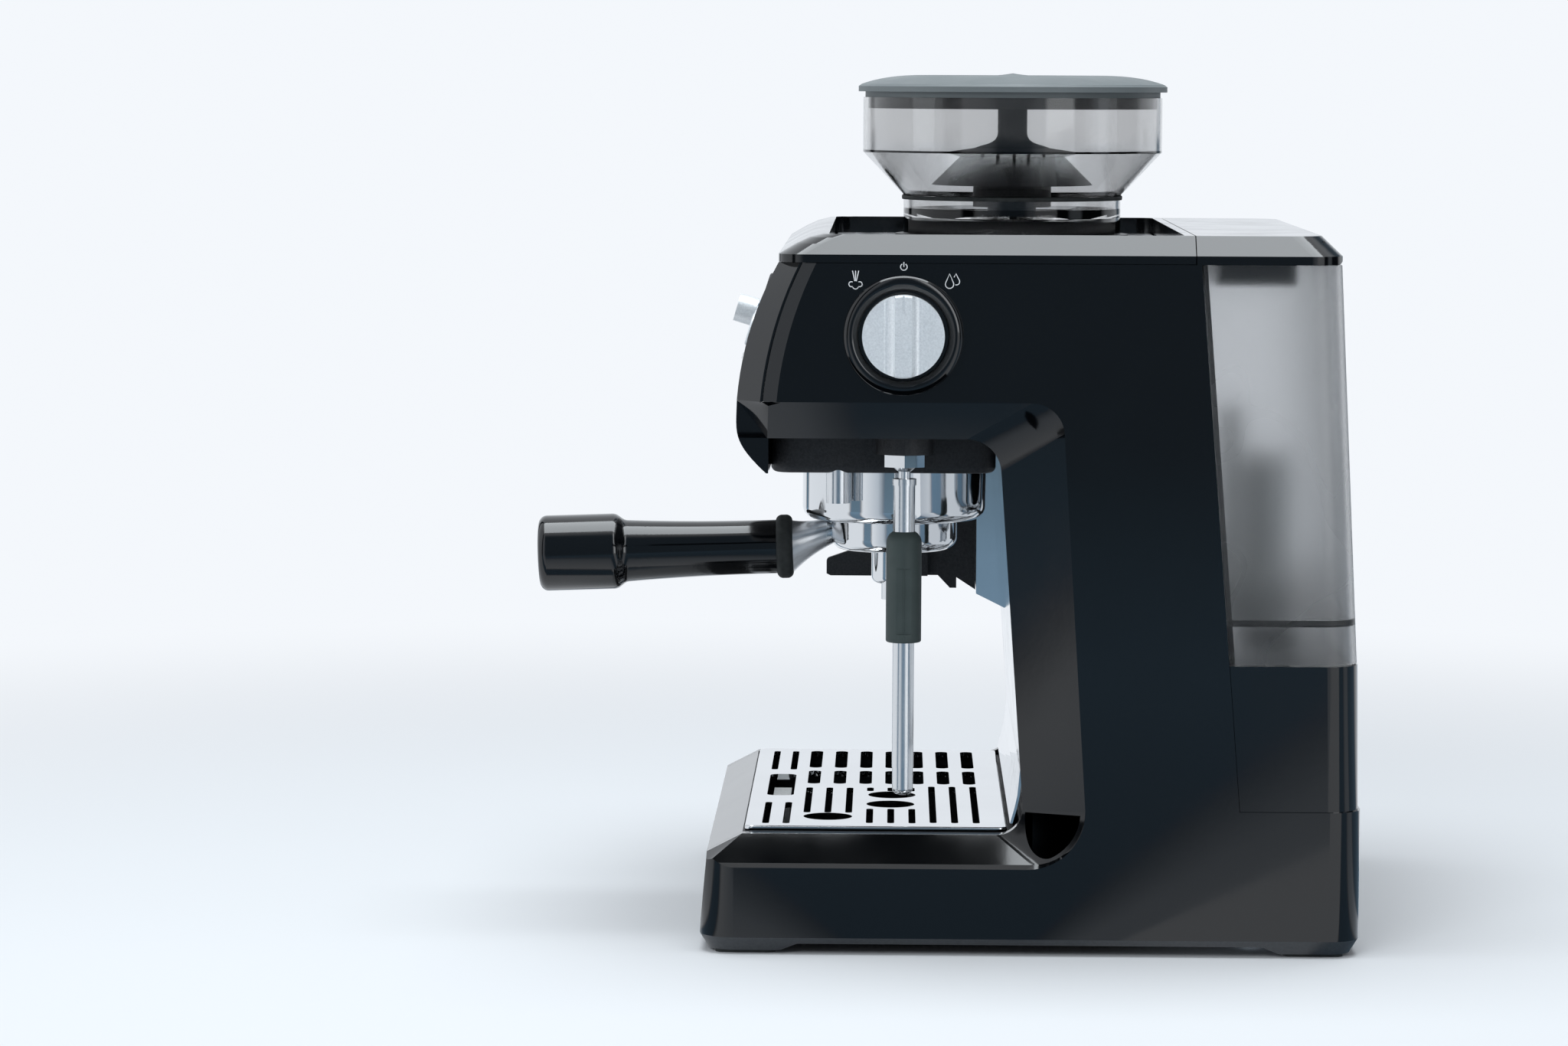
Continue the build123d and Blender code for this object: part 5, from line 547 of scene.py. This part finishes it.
# %% Small finishes
gauge_black = finish("gauge_black", (0.012, 0.012, 0.013), 0.45)
vary_roughness(gauge_black, grain(gauge_black, 200.0), 0.4, 0.52)
needle_white = finish("needle_white", (0.8, 0.8, 0.78), 0.4)
vary_roughness(needle_white, grain(needle_white, 300.0), 0.35, 0.5)
board_green = finish("board_green", (0.03, 0.14, 0.06), 0.4)
vary_colour(board_green, grain(board_green, 500.0), (0.02, 0.1, 0.04), (0.05, 0.2, 0.09))
filter_white = finish("filter_white", (0.72, 0.73, 0.72), 0.5)
vary_colour(filter_white, grain(filter_white, 700.0), (0.62, 0.63, 0.62), (0.78, 0.79, 0.78))
hose_white = finish("hose_white", (0.7, 0.7, 0.67), 0.45, Subsurface_Weight=0.1)
vary_roughness(hose_white, grain(hose_white, 200.0), 0.4, 0.55)
print_white = finish("print_white", (0.82, 0.83, 0.84), 0.45)
vary_roughness(print_white, grain(print_white, 400.0), 0.4, 0.55)
lamp_clear = finish("lamp_clear", (0.55, 0.62, 0.7), 0.2, Specular_IOR_Level=0.6)
vary_roughness(lamp_clear, grain(lamp_clear, 500.0), 0.15, 0.3)
print("seven small finishes")

# %% [markdown]
# Each CAD part keeps its shape and only changes its material slot. The table below reads like a parts list:
# a finish, and the parts that are made in it. The last line names any part that was forgotten.

# %% Give every CAD part its finish
finish_of = {
    gloss_black: ("base_housing", "side_panel_right", "side_panel_left", "front_fascia", "lower_fascia",
                  "top_cover", "rear_housing", "tank_lid", "tray_front", "dial_bezels", "handle"),
    matt_black: ("head_underplate", "grinding_cradle", "hopper_stem", "drip_tray", "gauge_body"),
    frame_grey: ("foot_frame",),
    inner_black: ("chassis", "grinder_housing", "water_pump", "cradle_switch"),
    lid_grey: ("hopper_lid",),
    rubber: ("rubber_feet", "handle_ring", "group_gasket"),
    grip_rubber: ("wand_grip",),
    polished_steel: ("group_collar", "portafilter_spout", "wand_nut", "drip_grate", "backsplash",
                     "filter_basket", "screws"),
    satin_steel: ("hot_water_spout", "steam_wand", "steam_tip"),
    portafilter_steel: ("portafilter_bowl",),
    brushed_steel: ("shower_screen", "cup_warmer_plate"),
    blasted_aluminium: ("steam_dial", "grind_dial", "grind_amount_knob", "power_button", "filter_button",
                        "program_button", "one_cup_button", "two_cup_button"),
    cast_aluminium: ("group_head", "grinder_motor"),
    burr_steel: ("upper_burr", "lower_burr"),
    brass: ("heater",),
    smoke_clear: ("hopper_bowl",),
    tank_clear: ("water_tank",),
    gauge_clear: ("gauge_glass",),
    needle_white: ("gauge_needle",),
    board_green: ("control_board",),
    filter_white: ("tank_filter", "tray_float"),
    hose_white: ("hoses",),
}
for material, parts in finish_of.items():
    for part in parts:
        nodes[part].data.materials.clear()
        nodes[part].data.materials.append(material)
undressed = sorted(set(nodes) - {part for parts in finish_of.values() for part in parts})
print("CAD parts without a finish:", undressed)

# %% [markdown]
# The small fittings and printed marks are pieces of their own, and each rides on the body that carries it.
# It is easiest to give them in millimetres on the face that they sit on: u to the right, v up, and w out of
# the face. A matrix then carries them into the room, and the piece is left at the origin with its place in
# its mesh.

# %% Places on a face, and closed pieces
def facing(origin, across, up):
    """The matrix that carries millimetres on a face to metres in the room."""
    across, up = Vector(across), Vector(up)
    turned_axes = Matrix((across, up, across.cross(up))).transposed().to_4x4()
    return Matrix.Translation(Vector(origin) * MM) @ turned_axes @ Matrix.Scale(MM, 4)


def solid(name, material, body, place, vertices, faces):
    """A closed piece, given in millimetres on a face, that rides on a body."""
    mesh = bpy.data.meshes.new(name)
    mesh.from_pydata([place @ Vector(vertex) for vertex in vertices], [], faces)
    shape = bmesh.new()
    shape.from_mesh(mesh)
    bmesh.ops.recalc_face_normals(shape, faces=shape.faces)
    shape.to_mesh(mesh)
    shape.free()
    mesh.materials.append(material)
    piece = bpy.data.objects.new(name, mesh)
    bpy.context.scene.collection.objects.link(piece)
    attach(piece, body)
    return piece


print("one millimetre on a face is", MM, "m in the room")

# %% [markdown]
# Gaskets, domed rims and lamp lenses are all turned on a lathe or in a round mould, so one helper turns a
# section about the axis that stands out of the face. Blender's Screw modifier could do the same, but a ring
# of plain faces leaves no modifier behind.

# %% Turned rings
def ringed(name, material, body, place, section, count=96, smooth=True):
    """A ring turned about w from a closed section of (radius, height) corners."""
    vertices, faces = [], []
    for index in range(count):
        angle = 2 * math.pi * index / count
        across, up = math.cos(angle), math.sin(angle)
        vertices += [(radius * across, radius * up, height) for radius, height in section]
    corners = len(section)
    for index in range(count):
        here, beyond = index * corners, (index + 1) % count * corners
        for corner in range(corners):
            after = (corner + 1) % corners
            faces.append((here + corner, beyond + corner, beyond + after, here + after))
    piece = solid(name, material, body, place, vertices, faces)
    if smooth:
        piece.data.shade_smooth()
    print(name, "has", len(faces), "faces")


# %% [markdown]
# The marks on the shell are screen-printed in white. A picture wrapped on the shell would need an image, so
# each mark is a thin raised line of ink, drawn along a run of points with a set width. It starts a little
# below the surface, so that no gap shows under it.

# %% Printed lines
def drawn(name, material, body, place, strokes, width, low, high):
    """Lines of ink: each stroke is a run of (u, v) points, and a closed one ends where it starts."""
    vertices, faces = [], []
    for stroke in strokes:
        closed = (Vector(stroke[0]) - Vector(stroke[-1])).length < width / 4
        points = [Vector(point) for point in (stroke[:-1] if closed else stroke)]
        first, count = len(vertices), len(points)
        for index, point in enumerate(points):
            before = points[index - 1] if index or closed else point
            after = points[(index + 1) % count] if index + 1 < count or closed else point
            run = (after - before).normalized()
            side = Vector((-run.y, run.x)) * width / 2
            for edge, height in ((side, low), (-side, low), (-side, high), (side, high)):
                vertices.append((point.x + edge.x, point.y + edge.y, height))
        for index in range(count if closed else count - 1):
            here, beyond = first + 4 * index, first + 4 * ((index + 1) % count)
            for corner in range(4):
                after_corner = (corner + 1) % 4
                faces.append((here + corner, beyond + corner, beyond + after_corner, here + after_corner))
        if not closed:
            last = first + 4 * (count - 1)
            faces += [tuple(range(first, first + 4)), tuple(range(last, last + 4))]
    solid(name, material, body, place, vertices, faces)
    print(name, "has", len(strokes), "strokes")


def arc(centre, radius, start, end, count=14):
    """Points on an arc, in degrees."""
    turns = [math.radians(start + (end - start) * index / count) for index in range(count + 1)]
    u, v = centre
    return [(u + radius * math.cos(angle), v + radius * math.sin(angle)) for angle in turns]


# %% [markdown]
# Both side panels carry a dial at the same place, the steam dial on the right and the grind dial on the
# left. The faces are taken from the frame, so the marks follow the panels and the dial wherever the CAD
# puts them.

# %% The two side faces
PER_METRE = 1000


def middle(box, axis):
    """The middle of a box along an axis, in millimetres."""
    return PER_METRE / 2 * (box[0][axis] + box[1][axis])


side_x = PER_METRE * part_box("side_panel_right")[1][0]
dial_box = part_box("steam_dial")
dial_y, dial_z = middle(dial_box, 1), middle(dial_box, 2)
right_face = facing((side_x, dial_y, dial_z), (0, 1, 0), (0, 0, 1))
left_face = facing((-side_x, dial_y, dial_z), (0, -1, 0), (0, 0, 1))
print("dial at", round(dial_y, 1), round(dial_z, 1), "mm")

# %% [markdown]
# To the left of the steam dial stands a mark for steam: three plumes over a small cloud. The outer plumes
# lean apart as they rise, and the cloud is three open arcs.

# %% The steam mark
ink_low, ink_high = -0.03, 0.06
ink_width = 0.42
steam_u, steam_v = -22.0, 25.2
plume_foot, plume_gap, plume_lean = 0.6, 0.35, 0.22
plume_rises = (0.0, 1.6, 3.2, 4.8)
cloud_drop = 2.0
cloud_arcs = ((-1.9, 0.0, 1.15, 60, 300), (0.0, 0.9, 1.3, 200, 340), (1.9, 0.0, 1.15, -120, 120))
plumes = [[(steam_u + side * (plume_gap + plume_lean * rise), steam_v - plume_foot + rise)
           for rise in plume_rises] for side in (-1.0, 0.0, 1.0)]
puffs = [arc((steam_u + shift, steam_v - cloud_drop - drop), radius, start, end)
         for shift, drop, radius, start, end in cloud_arcs]
drawn("steam_mark", print_white, "machine", right_face, plumes + puffs, ink_width, ink_low, ink_high)

# %% [markdown]
# To the right of the dial two water drops stand for hot water. A drop is most of a circle whose two ends
# run up to one point. The second drop is partly hidden by the first, so its line stays open.

# %% The water mark
drop_point = 2.5
front_drop = (20.9, 23.4, 1.9)
rear_drop_centre, rear_drop_radius = (24.0, 24.6), 1.5
rear_drop_tip = [(23.8, 28.2), (22.9, 26.6)]


def drop_outline(u, v, radius):
    """The outline of a water drop, round below and pointed above."""
    tip = (u, v + drop_point * radius)
    return [tip] + arc((u, v), radius, 155, 385, 20) + [tip]


drops = [drop_outline(*front_drop), arc(rear_drop_centre, rear_drop_radius, -110, 40) + rear_drop_tip]
drawn("water_mark", print_white, "machine", right_face, drops, ink_width, ink_low, ink_high)

# %% [markdown]
# Straight above the dial a plain ring with a stroke marks the rest position. It is a generic sign that
# needs no lettering.

# %% The rest mark
rest_v, rest_radius, rest_stroke_top = 31.2, 1.5, 33.4
rest_width = 0.45
rest_mark = [arc((0.0, rest_v), rest_radius, 120, 420, 24), [(0.0, rest_v), (0.0, rest_stroke_top)]]
drawn("rest_mark", print_white, "machine", right_face, rest_mark, rest_width, ink_low, ink_high)

# %% [markdown]
# Each dial sits in a rounded ring of gloss plastic. The section of the ring is a flat dome, and it is what
# catches the two long highlights round the knob. The dome's power, a little under one, makes its edges
# steeper than a plain sine.

# %% Domed rings round the dials
dome_inner, dome_outer = 20.9, 27.4
dome_foot, dome_sunk, dome_lift, dome_rise = 5.0, 1.0, 0.4, 1.7
dome_steps, dome_power = 12, 0.8
dome_section = [(dome_inner, dome_foot - dome_sunk)]
for index in range(dome_steps + 1):
    share = index / dome_steps
    dome_section.append((dome_inner + share * (dome_outer - dome_inner),
                         dome_foot + dome_lift + dome_rise * math.sin(math.pi * share) ** dome_power))
dome_section.append((dome_outer, dome_foot - dome_sunk))
for side_name, face in (("right", right_face), ("left", left_face)):
    ringed("dial_dome_" + side_name, gloss_black, "machine", face, dome_section)

# %% [markdown]
# The clear neck of the hopper ends in a black gasket, and below it the black liner of the machine shows
# through the plastic. Both are plain turned rings on the hopper's axis. The gasket lifts with the hopper,
# and the liner stays in the machine.

# %% Hopper gasket and liner
stem_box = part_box("hopper_stem")
hopper_x, hopper_y = middle(stem_box, 0), middle(stem_box, 1)
hopper_low = PER_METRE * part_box("hopper_bowl")[0][2]
neck = facing((hopper_x, hopper_y, hopper_low), (1, 0, 0), (0, 1, 0))
gasket_section = [(54.05, 22.3), (54.7, 22.3), (54.9, 23.4), (54.7, 24.3), (54.05, 24.3)]
liner_section = [(49.9, 0.6), (51.5, 0.6), (51.5, 12.6), (49.9, 12.2)]
ringed("neck_gasket", rubber, "hopper", neck, gasket_section)
ringed("neck_liner", matt_black, "machine", neck, liner_section)
print("hopper on the axis", round(hopper_x, 1), round(hopper_y, 1), "mm")

# %% [markdown]
# The rubber grip on the steam wand came out of a two-part mould, which leaves a fine raised seam down its
# middle. The seam runs in the grip's sunken panel and again on the full width above it, so it is two lines
# at two depths.

# %% Grip seam
grip_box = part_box("wand_grip")
grip_x, grip_y, grip_z = PER_METRE * grip_box[1][0], middle(grip_box, 1), PER_METRE * grip_box[0][2]
grip_face = facing((grip_x, grip_y, grip_z), (0, 1, 0), (0, 0, 1))
panel_run, panel_width, panel_low, panel_high = [(0, 5.2), (0, 34.0)], 0.5, -1.2, -0.45
upper_run, upper_width, upper_low, upper_high = [(0, 36.2), (0, 42.0)], 0.45, -0.5, 0.12
drawn("grip_seam", grip_rubber, "wand", grip_face, [panel_run], panel_width, panel_low, panel_high)
drawn("grip_seam_top", grip_rubber, "wand", grip_face, [upper_run], upper_width, upper_low, upper_high)

# %% [markdown]
# What repeats is made with Geometry Nodes: ticks on an arc, and blocks in rows. A loop could set each
# block, but a group with named inputs shows how many there are, how far apart and how large, and it can be
# used again. Each group puts points on its pattern, sets one small block on each point, makes them real,
# and gives them the material.

# %% What both pattern groups share
def pattern_group(name, inputs):
    """An empty geometry group with named inputs, and the sockets that give them."""
    group = bpy.data.node_groups.new(name, "GeometryNodeTree")
    for label, kind in inputs:
        group.interface.new_socket(label, in_out="INPUT", socket_type="NodeSocket" + kind)
    group.interface.new_socket("Geometry", in_out="OUTPUT", socket_type="NodeSocketGeometry")
    return group, step(group, "NodeGroupInput").outputs


def finish_pattern(group, given, points, turn_by, grow_by):
    """Sets a block on each point, makes them real and gives them the material."""
    block = step(group, "GeometryNodeMeshCube", {"Size": given["Size"]}).outputs[0]
    placed = step(group, "GeometryNodeInstanceOnPoints",
                  {"Points": points, "Instance": block, "Rotation": turn_by, "Scale": grow_by}).outputs[0]
    real = step(group, "GeometryNodeRealizeInstances", {0: placed}).outputs[0]
    dressed = step(group, "GeometryNodeSetMaterial", {"Geometry": real, "Material": given["Material"]})
    step(group, "NodeGroupOutput", {"Geometry": dressed.outputs[0]})
    print(group.name, "has", len(group.nodes), "nodes")


def maths(group, first, operation, second, third=None):
    """One sum inside a group."""
    inputs = {0: first, 1: second}
    if third is not None:
        inputs[2] = third
    return step(group, "ShaderNodeMath", inputs, operation=operation).outputs[0]


# %% [markdown]
# A scale is a row of points bent round an arc. Each point's number gives its angle, and every so many
# points the block is drawn out into a long tick.

# %% Ticks on an arc
def ticks_on_an_arc():
    """The group for the scales and the painted-shade tiles of the ring holes."""
    group, given = pattern_group("ticks_on_an_arc", (
        ("Count", "Int"), ("Radius", "Float"), ("Start", "Float"), ("Sweep", "Float"), ("Size", "Vector"),
        ("Long Every", "Int"), ("Long Scale", "Float"), ("Material", "Material")))
    number = step(group, "GeometryNodeInputIndex").outputs[0]
    share = maths(group, number, "DIVIDE", maths(group, given["Count"], "SUBTRACT", 1.0))
    angle = maths(group, share, "MULTIPLY_ADD", given["Sweep"], given["Start"])
    u = maths(group, maths(group, angle, "COSINE", 0.0), "MULTIPLY", given["Radius"])
    v = maths(group, maths(group, angle, "SINE", 0.0), "MULTIPLY", given["Radius"])
    place = step(group, "ShaderNodeCombineXYZ", {0: u, 1: v}).outputs[0]
    line = step(group, "GeometryNodeMeshLine", {"Count": given["Count"]}).outputs[0]
    points = step(group, "GeometryNodeSetPosition", {"Geometry": line, "Position": place}).outputs[0]
    is_long = maths(group, maths(group, number, "MODULO", given["Long Every"]), "LESS_THAN", 0.5)
    extra = maths(group, given["Long Scale"], "SUBTRACT", 1.0)
    length_scale = maths(group, is_long, "MULTIPLY_ADD", extra, 1.0)
    turn_by = step(group, "ShaderNodeCombineXYZ", {2: angle}).outputs[0]
    grow_by = step(group, "ShaderNodeCombineXYZ", {0: length_scale, 1: 1.0, 2: 1.0}).outputs[0]
    finish_pattern(group, given, points, turn_by, grow_by)
    return group


arc_group = ticks_on_an_arc()

# %% [markdown]
# Ribs, vents and level lines stand in straight rows. A point's number divided by the number across gives
# its row, and what is left over gives its column.

# %% Blocks in rows
def blocks_in_rows():
    """The group for the ribs, the painted-shade bars of the vents and the level lines."""
    group, given = pattern_group("blocks_in_rows", (
        ("Across", "Int"), ("Rows", "Int"), ("Pitch", "Vector"), ("Size", "Vector"),
        ("Material", "Material")))
    number = step(group, "GeometryNodeInputIndex").outputs[0]
    pitch_parts = step(group, "ShaderNodeSeparateXYZ", {0: given["Pitch"]}).outputs
    column = maths(group, number, "MODULO", given["Across"])
    row = maths(group, maths(group, number, "DIVIDE", given["Across"]), "FLOOR", 0.0)
    u, v = maths(group, column, "MULTIPLY", pitch_parts[0]), maths(group, row, "MULTIPLY", pitch_parts[1])
    place = step(group, "ShaderNodeCombineXYZ", {0: u, 1: v}).outputs[0]
    total = maths(group, given["Across"], "MULTIPLY", given["Rows"])
    line = step(group, "GeometryNodeMeshLine", {"Count": total}).outputs[0]
    points = step(group, "GeometryNodeSetPosition", {"Geometry": line, "Position": place}).outputs[0]
    finish_pattern(group, given, points, (0.0, 0.0, 0.0), (1.0, 1.0, 1.0))
    return group


grid_group = blocks_in_rows()

# %% [markdown]
# A modifier runs a group on an object that starts out empty. Its inputs are set by their identifiers, and
# the mesh that it makes is then kept as a plain one and the modifier dropped, so that nothing is left to
# evaluate.

# %% Run a pattern once and keep its mesh
def patterned(name, group, body, place, **values):
    """Feeds a group its named inputs, keeps the mesh it makes, and drops the modifier."""
    piece = bpy.data.objects.new(name, bpy.data.meshes.new(name + "_start"))
    bpy.context.scene.collection.objects.link(piece)
    tool = piece.modifiers.new("pattern", "NODES")
    tool.node_group = group
    items = group.interface.items_tree
    sockets = {item.name: item.identifier for item in items if item.in_out == "INPUT"}
    for label, value in values.items():
        tool[sockets[label.replace("_", " ")]] = value
    graph = bpy.context.evaluated_depsgraph_get()
    mesh = bpy.data.meshes.new_from_object(piece.evaluated_get(graph), depsgraph=graph)
    piece.modifiers.remove(tool)
    mesh.transform(place)
    piece.data = mesh
    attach(piece, body)
    print(name, "has", len(mesh.polygons), "faces")


# %% [markdown]
# The controls sit on a face that leans back. The gauge has a flat black disc with a hole for the needle's
# pin, a scale of ticks over most of a circle, and a pale arc for the range in which the machine should
# work. The disc is turned, the ticks come from the arc group, and the arc is a broad printed line.

# %% Gauge face and its ticks
fascia_lean = math.radians(16.74)
fascia_origin = (0, -89.4, 287.75)
fascia_up = Vector((0, math.sin(fascia_lean), math.cos(fascia_lean)))
control_face = facing(fascia_origin, (1, 0, 0), fascia_up)
gauge_floor, disc_lift, disc_top, tick_lift = -6.6, 0.02, 0.2, 0.24
pin_hole, disc_radius = 2.9, 19.2
disc_section = [(radius, gauge_floor + lift)
                for radius, lift in ((pin_hole, disc_lift), (disc_radius, disc_lift),
                                     (disc_radius, disc_top), (pin_hole, disc_top))]
ringed("gauge_face", gauge_black, "machine", control_face, disc_section, smooth=False)
tick_place = control_face @ Matrix.Translation((0, 0, gauge_floor + tick_lift))
patterned("gauge_ticks", arc_group, "machine", tick_place, Count=22, Radius=15.6,
          Start=math.radians(195), Sweep=math.radians(-210), Size=(2.0, 0.45, 0.12),
          Long_Every=7, Long_Scale=1.7, Material=print_white)
zone_radius, zone_width, zone_half = 12.6, 1.4, 0.06
zone_run = arc((0, 0), zone_radius, 125, 55, 20)
drawn("gauge_zone", lid_grey, "machine", tick_place, [zone_run], zone_width, -zone_half, zone_half)

# %% [markdown]
# The grind dial on the left side has a scale of its own, printed on the panel round the ring, with every
# fifth tick longer. It is the same group as the gauge's with other numbers.

# %% Grind scale
grind_lift = 0.02
grind_place = left_face @ Matrix.Translation((0, 0, grind_lift))
patterned("grind_scale", arc_group, "machine", grind_place, Count=16, Radius=31.5,
          Start=math.radians(210), Sweep=math.radians(-240), Size=(2.2, 0.5, 0.1),
          Long_Every=5, Long_Scale=1.6, Material=print_white)

# %% [markdown]
# The cup warmer is a steel plate with low pressed ribs, on which the cups stand so that air gets under
# them. A rib is a long flat block across the plate, sunk a little into it.

# %% Ribs of the cup tray
ribs_x, ribs_y, ribs_lift = 82.0, -40.0, 0.2
warmer_top = PER_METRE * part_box("cup_warmer_plate")[1][2]
ribs_place = facing((ribs_x, ribs_y, warmer_top + ribs_lift), (1, 0, 0), (0, 1, 0))
patterned("cup_tray_ribs", grid_group, "machine", ribs_place, Across=1, Rows=18, Pitch=(0.0, 8.0, 0.0),
          Size=(112.0, 2.2, 0.8), Material=brushed_steel)

# %% [markdown]
# The pump and the motor need air, so the back has two stacks of narrow slots. Real slots would cut the
# shell, which belongs to the CAD, so dark bars that stand just proud of it take their place. Their black is
# painted shade, standing in for the dark insides of the slots.

# %% Painted shade for the vents in the back
vents_x, vents_z, vents_sunk = 45.0, 84.0, 0.4
rear_y = PER_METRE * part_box("rear_housing")[1][1]
vents_place = facing((vents_x, rear_y - vents_sunk, vents_z), (-1, 0, 0), (0, 0, 1))
# The dark bars are painted shade for the slots, which are not cut.
patterned("rear_vent_shade", grid_group, "machine", vents_place, Across=2, Rows=8, Pitch=(90.0, 5.0, 0.0),
          Size=(70.0, 1.8, 1.4), Material=inner_black)

# %% [markdown]
# Five short lines on the tank's left wall show how full it is. They are printed on the tank, so they lift
# out with it.

# %% Level lines of the tank
lines_y, lines_z, lines_sunk = 152.0, 190.0, 0.02
lines_x = -PER_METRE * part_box("water_tank")[1][0] + lines_sunk
lines_place = facing((lines_x, lines_y, lines_z), (0, -1, 0), (0, 0, 1))
patterned("level_lines", grid_group, "tank", lines_place, Across=1, Rows=5, Pitch=(0.0, 26.0, 0.0),
          Size=(9.0, 0.6, 0.12), Material=print_white)

# %% [markdown]
# Under each of the five front keys is a small printed sign: a switch, a filter basket, a list for
# programming, one cup, and two cups. A key's place is a share of half the machine's width, as it is in the
# CAD, and the signs are drawn in millimetres round that place.

# %% Signs of the front keys
sign_width, sign_v = 0.4, -12.5
key_signs = {
    -0.82: [arc((0, 0), 1.6, 120, 420, 24), [(0, 0.4), (0, 2.4)]],
    -0.62: [[(-1.8, 1.4), (1.8, 1.4)], [(-1.8, 1.4), (-1.1, -1.4), (1.1, -1.4), (1.8, 1.4)]],
    0.4: [[(-1.8, -1.2), (1.8, -1.2)], [(-1.8, 0.0), (1.8, 0.0)], [(-1.8, 1.2), (1.8, 1.2)]],
    0.61: [[(-1.5, 1.2), (-1.2, -1.4), (1.2, -1.4), (1.5, 1.2), (-1.5, 1.2)]],
    0.82: [[(-3.3, 1.2), (-3.0, -1.4), (-0.8, -1.4), (-0.5, 1.2), (-3.3, 1.2)],
           [(0.5, 1.2), (0.8, -1.4), (3.0, -1.4), (3.3, 1.2), (0.5, 1.2)]],
}
strokes = [[(share * side_x + u, sign_v + v) for u, v in stroke]
           for share, sign in key_signs.items() for stroke in sign]
drawn("key_marks", print_white, "machine", control_face, strokes, sign_width, ink_low, ink_high)

# %% [markdown]
# Over each key sits the small clear lens of a lamp. It is a turned bead with a hole for the light, and half
# of it is sunk in the face.

# %% Lamps of the front keys
lamp_v = 12.0
lamp_section = [(0.25, -0.3), (0.95, -0.3), (0.95, 0.1), (0.65, 0.3), (0.25, 0.3)]
for index, share in enumerate(key_signs):
    lamp_place = control_face @ Matrix.Translation((share * side_x, lamp_v, 0))
    ringed("key_lamp_" + str(index), lamp_clear, "machine", lamp_place, lamp_section, count=24)

# %% [markdown]
# The shower screen over the basket is pierced with rings of fine holes. At this size a hole is a dot of
# shade, so each ring of holes is a ring of thin dark tiles from the arc group, with eight more of them in
# each ring out. The tiles' black is painted shade in place of the holes' dark insides.

# %% Painted shade for the holes of the shower screen
inner_radius, ring_pitch, holes_more, rings = 6.0, 2.2, 8, 8
screen_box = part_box("shower_screen")
screen_low = PER_METRE * screen_box[0][2]
screen_face = facing((middle(screen_box, 0), middle(screen_box, 1), screen_low), (1, 0, 0), (0, -1, 0))
for ring in range(1, rings + 1):
    holes = holes_more * ring
    # Each tile is painted shade for one hole, which is not cut.
    patterned("screen_hole_shade_" + str(ring), arc_group, "machine", screen_face, Count=holes,
              Radius=inner_radius + ring_pitch * ring, Start=0.0, Sweep=2 * math.pi * (1 - 1 / holes),
              Size=(0.9, 0.9, 0.1), Long_Every=1, Long_Scale=1.0, Material=inner_black)
